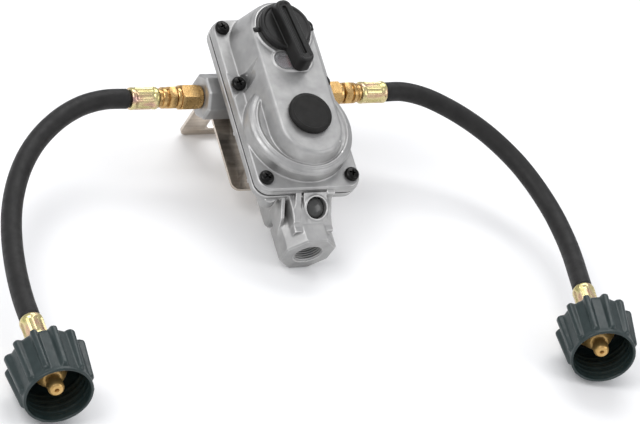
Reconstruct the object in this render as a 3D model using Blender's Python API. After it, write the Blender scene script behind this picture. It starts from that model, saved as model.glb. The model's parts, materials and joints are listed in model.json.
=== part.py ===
"""Automatic changeover propane regulator with two cylinder hoses, lying on its back on a table.

The regulator is modelled upright in its own body frame: X to the right, Y to the back, Z up along
the housing. An empty then lays it down, so that it rests on the bracket's rear edge and on the
outlet. Each hose leaves an inlet and ends in a handwheel nut that lies on the table.
"""

import math

import bmesh
import bpy
from mathutils import Matrix, Vector

MM = 0.001

# Rest pose: the housing leans back from level by this angle, and its body origin stands here.
LEAN = math.radians(21.2)
BODY_ORIGIN = Vector((0.0, -40.37, 52.94)) * MM
GAP = 0.3 * MM

# Round shapes start their facets at this angle, so that no facet edge meets a neighbour's edge.
ROUND_PHASE = 0.037

# Clamped flanges of the two castings, and the diaphragm sheet between them (body Y planes).
FLANGE_HALF_WIDTH = 34.0 * MM
FLANGE_BOTTOM = -8.5 * MM
FLANGE_TOP = 109.5 * MM
FLANGE_CORNER = 9.0 * MM
COVER_BACK = 5.3 * MM
SHEET_FRONT = 5.6 * MM
SHEET_BACK = 6.6 * MM
BODY_FRONT = 6.9 * MM
BODY_FLANGE_BACK = 12.2 * MM

# Screw centres.
SCREW_X = 27.9 * MM
SCREW_Z = (0.0, 63.7 * MM, 102.5 * MM)
SCREW_HEAD_RADIUS = 4.4 * MM
SCREW_SHANK_RADIUS = 2.0 * MM

# Front cover: the low dome, the tall boss and its flat face.
DOME_RADIUS = 33.0 * MM
DOME_HEIGHT = 10.0 * MM
FACE_Y = -20.5 * MM
BOSS_BASE = (26.8 * MM, 26.5 * MM, 26.6 * MM, 87.5 * MM)
BOSS_FACE = (19.6 * MM, 23.2 * MM, 20.0 * MM, 88.0 * MM)
STAGE_TWO_Z = 29.5 * MM
STAGE_ONE_Z = 88.1 * MM
WINDOW_Z = 66.8 * MM
WINDOW_HALF_SPAN = 5.5 * MM
WINDOW_RIM_RADIUS = 7.3 * MM

# Knob.
KNOB_RADIUS = 16.05 * MM
KNOB_BACK = -21.9 * MM
KNOB_DISC_FRONT = -25.8 * MM
KNOB_BAR_FRONT = -32.2 * MM
KNOB_TIP = 30.0 * MM
KNOB_TAIL = 14.6 * MM
KNOB_BAR_HALF_WIDTH = 5.8 * MM
POINTER_ANGLE = math.radians(8.0)
CAP_RADIUS = 13.2 * MM

# Inlets, outlet and bracket.
INLET_Y = 28.3 * MM
INLET_Z = 73.0 * MM
INLET_END = 39.0 * MM
INLET_FLATS = 25.4 * MM
INLET_BORE = 5.5 * MM
OUTLET_Y = 26.8 * MM
OUTLET_END = -37.0 * MM
OUTLET_FLATS = 32.0 * MM
OUTLET_BORE = 8.1 * MM
NECK_HALF_WIDTH = 12.5 * MM
SPINE_HALF_WIDTH = 14.0 * MM
SPINE_BACK = 42.0 * MM
PORT_CENTRE = Vector((2.5, 6.3, -17.4)) * MM
PORT_NORMAL = Vector((0.0, -0.875, -0.484))
BRACKET_FRONT = 42.3 * MM
BRACKET_SHEET = 2.0 * MM
BRACKET_HALF_WIDTH = 27.0 * MM
BRACKET_BOTTOM = 17.0 * MM
BRACKET_TOP = 84.6 * MM
BRACKET_REACH = 88.8 * MM
BRACKET_SCREW_Z = (26.0 * MM, 56.0 * MM)

# Hose pigtails. Distances along a pigtail's inlet axis are counted from the housing's centre.
HOSE_RADIUS = 5.95 * MM
FERRULE_RADIUS = 6.75 * MM
FERRULE_START = 67.5 * MM
FERRULE_END = 85.3 * MM
HOSE_POINT_SPACING = 22.0 * MM

# Handwheel nuts: along the nut's own axis, counted from its middle towards the mouth.
NUT_RIBS = 12
NUT_RIB_RADIUS = 22.9 * MM
NUT_RIB_TAPER = 2.0 * MM
NUT_BODY_RADIUS = 20.1 * MM
NUT_LIP_RADIUS = 19.2 * MM
NUT_HALF_LENGTH = 16.2 * MM
NUT_MOUTH_RADIUS = 17.2 * MM
NUT_NECK_HOLE = 7.9 * MM
NUT_FLOOR = -11.8 * MM
HOSE_END = -44.7 * MM
FAR_FERRULE_END = -26.6 * MM
NUT_AXIS_HEIGHT = NUT_RIB_RADIUS + 0.1 * MM

# Where each hose runs, in metres, from its near ferrule to its far one.
ROUTES = {
    "left": (
        (-0.0856, 0.0379, 0.0530), (-0.1000, 0.0377, 0.0530), (-0.1140, 0.0347, 0.0521),
        (-0.1268, 0.0293, 0.0501), (-0.1385, 0.0219, 0.0475), (-0.1490, 0.0132, 0.0444),
        (-0.1582, 0.0032, 0.0409), (-0.1660, -0.0080, 0.0373), (-0.1725, -0.0201, 0.0338),
        (-0.1778, -0.0329, 0.0306), (-0.1820, -0.0463, 0.0280), (-0.1854, -0.0600, 0.0259),
        (-0.1882, -0.0740, 0.0244), (-0.1905, -0.0881, 0.0234), (-0.1923, -0.1021, 0.0230),
        (-0.1935, -0.1160, 0.0230),
    ),
    "right": (
        (0.0856, 0.0379, 0.0530), (0.0991, 0.0376, 0.0530), (0.1122, 0.0330, 0.0521),
        (0.1247, 0.0257, 0.0497), (0.1362, 0.0172, 0.0465), (0.1467, 0.0078, 0.0426),
        (0.1554, -0.0028, 0.0385), (0.1625, -0.0143, 0.0344), (0.1675, -0.0263, 0.0305),
        (0.1706, -0.0392, 0.0272), (0.1719, -0.0527, 0.0247), (0.1714, -0.0665, 0.0229),
        (0.1695, -0.0801, 0.0220), (0.1662, -0.0937, 0.0219), (0.1620, -0.1070, 0.0225),
        (0.1580, -0.1202, 0.0230),
    ),
}
NUT_HEADINGS = {"left": math.radians(-4.6), "right": math.radians(-16.1)}


# ---------------------------------------------------------------- scene and materials

def clear_scene():
    for obj in list(bpy.data.objects):
        bpy.data.objects.remove(obj, do_unlink=True)


def make_material(name, colour, roughness, metallic):
    material = bpy.data.materials.new(name)
    material.use_nodes = True
    shader = material.node_tree.nodes["Principled BSDF"]
    shader.inputs["Base Color"].default_value = (*colour, 1.0)
    shader.inputs["Roughness"].default_value = roughness
    shader.inputs["Metallic"].default_value = metallic
    material.diffuse_color = (*colour, 1.0)
    return material


def make_materials():
    return {
        "cast_aluminium": make_material("cast_aluminium", (0.52, 0.52, 0.53), 0.45, 0.9),
        "black_plastic": make_material("black_plastic", (0.018, 0.017, 0.016), 0.4, 0.0),
        "cap_plastic": make_material("cap_plastic", (0.028, 0.027, 0.025), 0.5, 0.0),
        "black_steel": make_material("black_steel", (0.02, 0.02, 0.02), 0.3, 0.6),
        "clear_lens": make_material("clear_lens", (0.85, 0.87, 0.9), 0.08, 0.0),
        "indicator_red": make_material("indicator_red", (0.35, 0.03, 0.04), 0.5, 0.0),
        "brass": make_material("brass", (0.72, 0.42, 0.14), 0.25, 1.0),
        "yellow_zinc": make_material("yellow_zinc", (0.72, 0.62, 0.28), 0.28, 1.0),
        "stainless": make_material("stainless", (0.55, 0.54, 0.52), 0.18, 1.0),
        "spring_steel": make_material("spring_steel", (0.45, 0.45, 0.46), 0.3, 1.0),
        "rubber": make_material("rubber", (0.025, 0.024, 0.024), 0.7, 0.0),
        "hose_rubber": make_material("hose_rubber", (0.03, 0.028, 0.028), 0.6, 0.0),
        "green_nylon": make_material("green_nylon", (0.028, 0.045, 0.043), 0.42, 0.0),
    }


# ---------------------------------------------------------------- shapes

def loft(sections):
    """A closed skin through outlines that all have the same number of points."""
    shape = bmesh.new()
    rings = [[shape.verts.new(point) for point in section] for section in sections]
    count = len(rings[0])
    for ring, following in zip(rings, rings[1:]):
        for i in range(count):
            j = (i + 1) % count
            shape.faces.new((ring[i], ring[j], following[j], following[i]))
    shape.faces.new(rings[0])
    shape.faces.new(rings[-1])
    return shape


def block_y(outline, front, back):
    """An outline of (x, z) points, extruded along Y."""
    return loft([[Vector((x, y, z)) for x, z in outline] for y in (front, back)])


def block_x(outline, left, right):
    """An outline of (y, z) points, extruded along X."""
    return loft([[Vector((x, y, z)) for y, z in outline] for x in (left, right)])


def box(low, high):
    outline = [(low[0], low[2]), (high[0], low[2]), (high[0], high[2]), (low[0], high[2])]
    return block_y(outline, low[1], high[1])


def turned(profile, segments, frame, phase=ROUND_PHASE, ring=False):
    """A profile of (radius, height) turned about the frame's Z axis; ring joins its two ends."""
    shape = bmesh.new()
    turns = [phase + math.tau * i / segments for i in range(segments)]
    loops = []
    for radius, height in profile:
        if radius == 0.0:
            loops.append([shape.verts.new(frame @ Vector((0, 0, height)))])
        else:
            loops.append([
                shape.verts.new(frame @ Vector((radius * math.cos(t), radius * math.sin(t), height)))
                for t in turns
            ])
    pairs = list(zip(loops, loops[1:]))
    if ring:
        pairs.append((loops[-1], loops[0]))
    for first, second in pairs:
        for i in range(segments):
            j = (i + 1) % segments
            corners = [first[i % len(first)], first[j % len(first)],
                       second[j % len(second)], second[i % len(second)]]
            shape.faces.new(list(dict.fromkeys(corners)))
    return shape


def arc(radius, centre, start, end, count):
    """Points (a, b) on an arc, from start to end in degrees, both ends included."""
    return [
        (centre[0] + radius * math.cos(t), centre[1] + radius * math.sin(t))
        for t in (math.radians(start + (end - start) * i / count) for i in range(count + 1))
    ]


def rounded_rectangle(left, right, bottom, top, radius, count=4):
    return (
        arc(radius, (right - radius, bottom + radius), -90, 0, count)
        + arc(radius, (right - radius, top - radius), 0, 90, count)
        + arc(radius, (left + radius, top - radius), 90, 180, count)
        + arc(radius, (left + radius, bottom + radius), 180, 270, count)
    )


def stadium(half_span, radius, centre_z, count=6):
    """A slot lying along X."""
    return (arc(radius, (half_span, centre_z), -90, 90, count)
            + arc(radius, (-half_span, centre_z), 90, 270, count))


def egg(lower_radius, lower_z, upper_radius, upper_z, count=10):
    """An upright slot whose two round ends may differ in radius."""
    return (arc(lower_radius, (0.0, lower_z), 180, 360, count)
            + arc(upper_radius, (0.0, upper_z), 0, 180, count))


def frame_along(direction, origin):
    """A frame whose Z axis points along direction."""
    z = Vector(direction).normalized()
    helper = Vector((0, 0, 1)) if abs(z.z) < 0.9 else Vector((0, 1, 0))
    x = helper.cross(z).normalized()
    rotation = Matrix((x, z.cross(x), z)).transposed()
    return Matrix.Translation(Vector(origin)) @ rotation.to_4x4()


def out_of_face(x, z):
    """A frame on the flange's front plane, with its Z axis pointing out of the front."""
    return frame_along((0, -1, 0), (x, 0, z))


# ---------------------------------------------------------------- objects

def add_object(name, shape, material, parent, origin=(0.0, 0.0, 0.0)):
    origin = Vector(origin)
    bmesh.ops.recalc_face_normals(shape, faces=shape.faces)
    bmesh.ops.connect_verts_nonplanar(shape, angle_limit=0.0001, faces=shape.faces)
    bmesh.ops.translate(shape, verts=shape.verts, vec=-origin)
    mesh = bpy.data.meshes.new(name)
    shape.to_mesh(mesh)
    shape.free()
    mesh.shade_smooth()
    mesh.set_sharp_from_angle(angle=math.radians(32))
    obj = bpy.data.objects.new(name, mesh)
    if material:
        mesh.materials.append(material)
    bpy.context.scene.collection.objects.link(obj)
    obj.parent = parent
    obj.location = origin
    return obj


def combine(target, operation, shapes):
    """Joins shapes to the target, or cuts them from it. Each shape stays as a hidden helper."""
    for shape in shapes:
        number = len(target.modifiers) + 1
        helper = add_object(f"{target.name}_{operation.lower()}_{number}", shape, None, target.parent)
        helper.hide_render = True
        helper.display_type = "WIRE"
        modifier = target.modifiers.new(helper.name, "BOOLEAN")
        modifier.operation = operation
        modifier.solver = "MANIFOLD"
        modifier.object = helper


def add_empty(name, matrix):
    empty = bpy.data.objects.new(name, None)
    empty.empty_display_size = 0.02
    bpy.context.scene.collection.objects.link(empty)
    empty.matrix_world = matrix
    return empty


def screw_holes(radius, front, back):
    return [
        turned(((0, -back), (radius, -back), (radius, -front), (0, -front)), 8, out_of_face(x, z))
        for x in (-SCREW_X, SCREW_X) for z in SCREW_Z
    ]


def flange_outline(inset=0.0):
    return rounded_rectangle(
        -FLANGE_HALF_WIDTH + inset, FLANGE_HALF_WIDTH - inset,
        FLANGE_BOTTOM + inset, FLANGE_TOP - inset, FLANGE_CORNER - inset)


def coil(radius, wire, turns, start, end, points_per_turn=8, sides=4):
    """A helical wire about a frame's Z axis, as a closed tube, in that frame's coordinates."""
    steps = int(turns * points_per_turn)
    sections = []
    for i in range(steps + 1):
        angle = math.tau * turns * i / steps
        centre = Vector((radius * math.cos(angle), radius * math.sin(angle),
                         start + (end - start) * i / steps))
        outward = Vector((math.cos(angle), math.sin(angle), 0.0))
        tangent = Vector((-radius * math.sin(angle), radius * math.cos(angle),
                          (end - start) / (math.tau * turns))).normalized()
        side = tangent.cross(outward)
        sections.append([
            centre + wire * (outward * math.cos(a) + side * math.sin(a))
            for a in (math.tau * k / sides for k in range(sides))
        ])
    return sections


def add_coil(name, frame, material, parent, **sizes):
    sections = [[frame @ point for point in section] for section in coil(**sizes)]
    return add_object(name, loft(sections), material, parent)


# ---------------------------------------------------------------- castings

def cover_boss():
    """The tall boss: straight drafted walls that round over into the flat face."""
    steps = ((2.6 * MM, 0.0, 0.0), (-17.2 * MM, 0.86, 0.0), (-19.6 * MM, 0.98, 0.0), (FACE_Y, 1.0, 1.2 * MM))
    sections = []
    for y, blend, inset in steps:
        lower_radius, lower_z, upper_radius, upper_z = (
            base + (face - base) * blend for base, face in zip(BOSS_BASE, BOSS_FACE))
        outline = egg(lower_radius - inset, lower_z, upper_radius - inset, upper_z)
        sections.append([Vector((x, y, z)) for x, z in outline])
    return loft(sections)


def relief_notch(side):
    """A V-shaped valley in the boss wall, beside the middle screw."""
    valley_foot = Vector((side * 21.6, 0.6, 64.5)) * MM
    valley_head = Vector((side * 19.7, -20.0, 71.5)) * MM
    low = Vector((side * 36.0, 0.6, 52.0)) * MM
    high = Vector((side * 36.0, 0.6, 74.0)) * MM
    front = Vector((side * 36.0, -26.0, 73.0)) * MM
    shape = bmesh.new()
    for point in (valley_foot, valley_head, low, high, front):
        shape.verts.new(point)
    bmesh.ops.convex_hull(shape, input=shape.verts)
    return shape


def add_front_cover(materials, seat):
    slab = loft([
        [Vector((x, y, z)) for x, z in flange_outline(inset)]
        for y, inset in ((COVER_BACK, 0.0), (1.1 * MM, 0.0), (0.0, 1.0 * MM))
    ])
    cover = add_object("front_cover", slab, materials["cast_aluminium"], seat)
    dome = turned(
        ((0, -2 * MM), (DOME_RADIUS, -2 * MM), (DOME_RADIUS, 6.6 * MM), (DOME_RADIUS - 0.9 * MM, 8.8 * MM),
         (DOME_RADIUS - 3.2 * MM, DOME_HEIGHT), (0, DOME_HEIGHT)), 36, out_of_face(0, STAGE_TWO_Z))
    window_rim = block_y(stadium(WINDOW_HALF_SPAN, WINDOW_RIM_RADIUS, WINDOW_Z), FACE_Y - 0.9 * MM,
        FACE_Y + 1 * MM)
    knob_rim = turned(
        ((16.9 * MM, 19 * MM), (18.0 * MM, 19 * MM), (18.0 * MM, 21.2 * MM), (16.9 * MM, 21.2 * MM)),
        28, out_of_face(0, STAGE_ONE_Z), ring=True)
    combine(cover, "UNION", [dome, cover_boss(), window_rim, knob_rim])

    front = out_of_face(0, STAGE_TWO_Z)
    upper = out_of_face(0, STAGE_ONE_Z)
    hollows = [
        relief_notch(-1), relief_notch(1),
        turned(((0, -7 * MM), (23 * MM, -7 * MM), (23 * MM, 6.5 * MM), (0, 6.5 * MM)), 24, front),
        turned(((0, 5 * MM), (9.6 * MM, 5 * MM), (9.6 * MM, 22 * MM), (0, 22 * MM)), 20, front),
        turned(((0, -7 * MM), (18.5 * MM, -7 * MM), (18.5 * MM, 8.0 * MM), (0, 8.0 * MM)), 24, upper),
        turned(((0, 7 * MM), (12.5 * MM, 7 * MM), (12.5 * MM, 15.6 * MM), (0, 15.6 * MM)), 20, upper),
        turned(((0, 15 * MM), (4.4 * MM, 15 * MM), (4.4 * MM, 22 * MM), (0, 22 * MM)), 12, upper),
        box((-12.0 * MM, -16.0 * MM, 57.0 * MM), (12.0 * MM, -11.0 * MM, 80.0 * MM)),
        box((-8.0 * MM, -12.0 * MM, 66.0 * MM), (8.0 * MM, -2.0 * MM, 80.0 * MM)),
        block_y(stadium(WINDOW_HALF_SPAN, 6.1 * MM, WINDOW_Z), -23 * MM, -18.8 * MM),
        block_y(stadium(WINDOW_HALF_SPAN, 4.4 * MM, WINDOW_Z), -20 * MM, -15 * MM),
        box((-21 * MM, -23 * MM, STAGE_ONE_Z - 1.8 * MM),
            (21 * MM, FACE_Y - 0.1 * MM, STAGE_ONE_Z + 1.8 * MM)),
    ]
    for x in (-SCREW_X, SCREW_X):
        hollows.append(turned(
            ((0, 0.05 * MM), (5.6 * MM, 0.05 * MM), (5.6 * MM, 24 * MM), (0, 24 * MM)), 16,
            out_of_face(x, SCREW_Z[1])))
    combine(cover, "DIFFERENCE", hollows + screw_holes(2.5 * MM, -1 * MM, 7 * MM))


def add_rear_body(materials, seat):
    slab = loft([
        [Vector((x, y, z)) for x, z in flange_outline(inset)]
        for y, inset in ((BODY_FRONT, 0.0), (11.2 * MM, 0.0), (BODY_FLANGE_BACK, 1.0 * MM))
    ])
    body = add_object("rear_body", slab, materials["cast_aluminium"], seat)
    octagon = math.pi / 8
    inlet_radius = INLET_FLATS / 2 / math.cos(octagon)
    outlet_radius = OUTLET_FLATS / 2 / math.cos(octagon)
    dish = turned(
        ((0, -19 * MM), (26 * MM, -19 * MM), (29 * MM, -16 * MM), (29 * MM, -8 * MM), (0, -8 * MM)), 28,
        out_of_face(0, STAGE_TWO_Z))
    upper_dish = turned(
        ((0, -19 * MM), (19 * MM, -19 * MM), (21.5 * MM, -16.5 * MM), (21.5 * MM, -8 * MM),
         (0, -8 * MM)), 24,
        out_of_face(0, STAGE_ONE_Z - 3 * MM))
    spine = block_y(
        rounded_rectangle(-SPINE_HALF_WIDTH, SPINE_HALF_WIDTH, -10 * MM, 97 * MM, 3 * MM), 9 * MM,
        SPINE_BACK)
    inlets = turned(
        ((0, -INLET_END), (inlet_radius - 1.2 * MM, -INLET_END), (inlet_radius, -INLET_END + 1.2 * MM),
         (inlet_radius, INLET_END - 1.2 * MM), (inlet_radius - 1.2 * MM, INLET_END), (0, INLET_END)), 8,
        frame_along((1, 0, 0), (0, INLET_Y, INLET_Z)), phase=octagon)
    outlet = turned(
        ((0, OUTLET_END), (outlet_radius - 1.0 * MM, OUTLET_END), (outlet_radius, OUTLET_END + 1.0 * MM),
         (outlet_radius, -19 * MM), (outlet_radius - 5 * MM, -14 * MM), (0, -14 * MM)), 8,
        frame_along((0, 0, 1), (0, OUTLET_Y, 0)), phase=octagon)
    neck = block_x(
        ((7.2 * MM, -5 * MM), (7.2 * MM, -17 * MM), (11.4 * MM, -27 * MM), (11.4 * MM, -30 * MM),
         (SPINE_BACK, -30 * MM), (SPINE_BACK, 0.0)), -NECK_HALF_WIDTH, NECK_HALF_WIDTH)
    port_frame = frame_along(PORT_NORMAL, PORT_CENTRE)
    port_boss = turned(
        ((0, -9 * MM), (8.2 * MM, -9 * MM), (8.2 * MM, 0.2 * MM), (7.4 * MM, 0.9 * MM),
         (0, 0.9 * MM)), 20, port_frame)
    ribs = [
        block_x(((7.2 * MM, -7 * MM), (7.2 * MM, -9 * MM), (11.4 * MM, -30 * MM), (30 * MM, -30 * MM),
            (30 * MM, -7 * MM)),
                side * 14.2 * MM - 1.3 * MM, side * 14.2 * MM + 1.3 * MM)
        for side in (-1, 1)
    ]
    vent_boss = turned(
        ((0, -19 * MM), (4.6 * MM, -19 * MM), (5.2 * MM, -18 * MM), (5.2 * MM, -11 * MM), (0, -11 * MM)), 12,
        out_of_face(-22.5 * MM, -4.5 * MM))
    combine(body, "UNION", [dish, upper_dish, spine, inlets, outlet, neck, port_boss, *ribs, vent_boss])

    lower = out_of_face(0, STAGE_TWO_Z)
    upper = out_of_face(0, STAGE_ONE_Z)
    bore_x = frame_along((1, 0, 0), (0, INLET_Y, INLET_Z))
    bore_z = frame_along((0, 0, 1), (0, 20 * MM, 0))
    hollows = [
        turned(((0, -14.5 * MM), (22.5 * MM, -14.5 * MM), (22.5 * MM, -5 * MM), (0, -5 * MM)), 24, lower),
        turned(((0, -14.5 * MM), (18.0 * MM, -14.5 * MM), (18.0 * MM, -5 * MM), (0, -5 * MM)), 24, upper),
        turned(((0, -45 * MM), (INLET_BORE, -45 * MM), (INLET_BORE, 45 * MM), (0, 45 * MM)), 16, bore_x),
        turned(((0, -38 * MM), (OUTLET_BORE, -38 * MM), (OUTLET_BORE - 0.5 * MM, -19 * MM),
            (0, -15 * MM)), 20,
               frame_along((0, 0, 1), (0, OUTLET_Y, 0))),
        turned(((0, -22 * MM), (5.2 * MM, -22 * MM), (5.2 * MM, 67 * MM), (0, 67 * MM)), 16, bore_z),
        box((-7.5 * MM, 12 * MM, 66 * MM), (7.5 * MM, 34 * MM, 92 * MM)),
        box((-5.0 * MM, 12 * MM, 8 * MM), (5.0 * MM, 24 * MM, 31 * MM)),
        turned(((0, -6 * MM), (6.5 * MM, -6 * MM), (6.5 * MM, 2 * MM), (0, 2 * MM)), 20, port_frame),
        turned(((0, -13 * MM), (2.3 * MM, -13 * MM), (2.3 * MM, -5 * MM), (0, -5 * MM)), 12, port_frame),
        turned(((0, -20 * MM), (3.2 * MM, -20 * MM), (3.2 * MM, -14 * MM), (0, -14 * MM)), 12,
               out_of_face(-22.5 * MM, -4.5 * MM)),
    ]
    for z in BRACKET_SCREW_Z:
        hollows.append(turned(
            ((0, -43 * MM), (2.4 * MM, -43 * MM), (2.4 * MM, -33 * MM),
             (0, -33 * MM)), 12, out_of_face(0, z)))
    combine(body, "DIFFERENCE", hollows + screw_holes(2.4 * MM, 5 * MM, 11.4 * MM))


def add_port_plug(materials, seat):
    """The domed plug sunk in the neck's port."""
    plug = turned(
        ((0, -5.6 * MM), (6.1 * MM, -5.6 * MM), (6.1 * MM, -2.4 * MM), (5.2 * MM, -1.4 * MM),
         (3.0 * MM, -0.7 * MM),
         (0, -0.4 * MM)), 16, frame_along(PORT_NORMAL, PORT_CENTRE))
    add_object("port_plug", plug, materials["black_plastic"], seat)


def add_diaphragm_sheet(materials, seat):
    """The rubber sheet clamped between the two castings; its two moving discs are separate."""
    sheet = add_object(
        "flange_gasket", block_y(flange_outline(0.5 * MM), SHEET_FRONT, SHEET_BACK), materials["rubber"],
        seat)
    openings = [
        turned(((0, -8 * MM), (radius, -8 * MM), (radius, -4 * MM), (0, -4 * MM)), 24, out_of_face(0, z))
        for radius, z in ((22.2 * MM, STAGE_TWO_Z), (18.0 * MM, STAGE_ONE_Z))
    ]
    combine(sheet, "DIFFERENCE", openings + screw_holes(2.6 * MM, 5 * MM, 8 * MM))


def add_bracket(materials, seat):
    """Sheet-steel bracket: a plate on the back of the housing and a slotted flange bent to the rear."""
    back = BRACKET_FRONT + BRACKET_SHEET
    bend = 4.0 * MM
    side_view = (
        [(BRACKET_FRONT, BRACKET_BOTTOM)]
        + [(y, z) for y, z in arc(bend, (BRACKET_FRONT + bend, BRACKET_TOP - bend), 180, 90, 4)]
        + [(BRACKET_REACH, BRACKET_TOP), (BRACKET_REACH, BRACKET_TOP - BRACKET_SHEET)]
        + [(y, z) for y, z in arc(bend - BRACKET_SHEET, (back + bend - BRACKET_SHEET, BRACKET_TOP - bend),
            90, 180, 4)]
        + [(back, BRACKET_BOTTOM)]
    )
    bracket = add_object(
        "mounting_bracket", block_x(side_view, -BRACKET_HALF_WIDTH, BRACKET_HALF_WIDTH),
        materials["stainless"], seat)
    plate_frame = block_y(
        rounded_rectangle(-BRACKET_HALF_WIDTH, BRACKET_HALF_WIDTH, BRACKET_BOTTOM, 130 * MM, 5 * MM, 4),
        30 * MM, 100 * MM)
    flange_frame = loft([
        [Vector((x, y, z)) for x, y in
         rounded_rectangle(-BRACKET_HALF_WIDTH, BRACKET_HALF_WIDTH, 20 * MM, BRACKET_REACH, 5 * MM, 4)]
        for z in (0.0, 100 * MM)
    ])
    combine(bracket, "INTERSECT", [plate_frame, flange_frame])
    slot = loft([
        [Vector((x, y, z)) for x, y in rounded_rectangle(-12 * MM, 12 * MM, 52 * MM, 82.5 * MM, 3 * MM, 4)]
        for z in (78 * MM, 90 * MM)
    ])
    holes = [
        turned(((0, -46 * MM), (2.6 * MM, -46 * MM), (2.6 * MM, -41 * MM),
            (0, -41 * MM)), 12, out_of_face(0, z))
        for z in BRACKET_SCREW_Z
    ]
    combine(bracket, "DIFFERENCE", [slot, *holes])


# ---------------------------------------------------------------- fasteners and front fittings

def screw_shape(frame):
    """A pan-head machine screw, its head resting on the frame's plane."""
    return turned(
        ((0, -10.5 * MM), (SCREW_SHANK_RADIUS, -10.5 * MM), (SCREW_SHANK_RADIUS, GAP),
         (SCREW_HEAD_RADIUS, GAP),
         (SCREW_HEAD_RADIUS, 1.7 * MM), (SCREW_HEAD_RADIUS - 0.8 * MM, 2.8 * MM), (0, 3.2 * MM)), 12, frame)


def add_screws(materials, seat):
    number = 0
    for z in reversed(SCREW_Z):
        for x in (-SCREW_X, SCREW_X):
            number += 1
            add_object(f"cover_screw_{number}", screw_shape(out_of_face(x, z)), materials["black_steel"],
                seat)
    for number, z in enumerate(BRACKET_SCREW_Z, 1):
        frame = frame_along((0, 1, 0), (0, BRACKET_FRONT + BRACKET_SHEET, z))
        add_object(f"bracket_screw_{number}", screw_shape(frame), materials["stainless"], seat)


def bar_outline(tip, tail, half_width, corner):
    """The knob's bar seen from the front, along the pointer; (across, along) points."""
    return rounded_rectangle(-half_width, half_width, -tip, tail, corner, 4)


def add_knob(materials, seat):
    """Changeover knob: a disc with a tall bar across it, whose longer end is the pointer."""
    axis = (0.0, 0.0, STAGE_ONE_Z)
    disc = turned(
        ((0, -KNOB_BACK), (KNOB_RADIUS, -KNOB_BACK), (KNOB_RADIUS, -KNOB_DISC_FRONT - 0.8 * MM),
         (KNOB_RADIUS - 0.8 * MM, -KNOB_DISC_FRONT), (0, -KNOB_DISC_FRONT)), 32, out_of_face(0, STAGE_ONE_Z))
    knob = add_object("changeover_knob", disc, materials["black_plastic"], seat, axis)
    turn = Matrix.Rotation(-POINTER_ANGLE, 4, "Y")
    sections = []
    for y, inset in ((KNOB_BACK, 0.0), (KNOB_BAR_FRONT + 0.8 * MM, 1.0 * MM), (KNOB_BAR_FRONT, 1.8 * MM)):
        outline = bar_outline(KNOB_TIP - inset, KNOB_TAIL - inset, KNOB_BAR_HALF_WIDTH - inset, 3.2 * MM)
        sections.append([turn @ Vector((x, y, z)) + Vector(axis) for x, z in outline])
    combine(knob, "UNION", [loft(sections)])
    combine(knob, "DIFFERENCE", [turned(
        ((0, 21 * MM), (3.3 * MM, 21 * MM), (3.3 * MM, 27 * MM),
         (0, 27 * MM)), 16, out_of_face(0, STAGE_ONE_Z))])

    shaft = turned(
        ((0, 10.5 * MM), (8.5 * MM, 10.5 * MM), (8.5 * MM, 13 * MM), (3.0 * MM, 13 * MM),
         (3.0 * MM, 26.6 * MM),
         (0, 26.6 * MM)), 20, out_of_face(0, STAGE_ONE_Z))
    add_object("selector_shaft", shaft, materials["brass"], seat, axis)

    plate = turned(
        ((4.2 * MM, 20.8 * MM), (13.6 * MM, 20.8 * MM), (13.6 * MM, 21.6 * MM), (4.2 * MM, 21.6 * MM)), 24,
        out_of_face(0, STAGE_ONE_Z), ring=True)
    retainer = add_object("knob_retainer", plate, materials["black_plastic"], seat)
    ears = [
        box((side * 16.2 * MM - 3.6 * MM, -21.5 * MM, STAGE_ONE_Z - 1.3 * MM),
            (side * 16.2 * MM + 3.6 * MM, -20.9 * MM, STAGE_ONE_Z + 1.3 * MM))
        for side in (-1, 1)
    ]
    combine(retainer, "UNION", ears)


def add_window(materials, seat):
    sections = []
    for y, radius in ((-17.0, 4.1), (-19.1, 4.1), (-19.1, 5.8), (-20.7, 5.8), (-21.2, 5.2)):
        outline = stadium(WINDOW_HALF_SPAN, radius * MM, WINDOW_Z)
        sections.append([Vector((x, y * MM, z)) for x, z in outline])
    add_object("indicator_lens", loft(sections), materials["clear_lens"], seat)
    flag = block_y(rounded_rectangle(-10.5 * MM, 10.5 * MM, 61.0 * MM, 72.0 * MM, 1 * MM, 2), -15.2 * MM,
        -14.2 * MM)
    add_object("indicator_flag", flag, materials["indicator_red"], seat)


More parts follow.
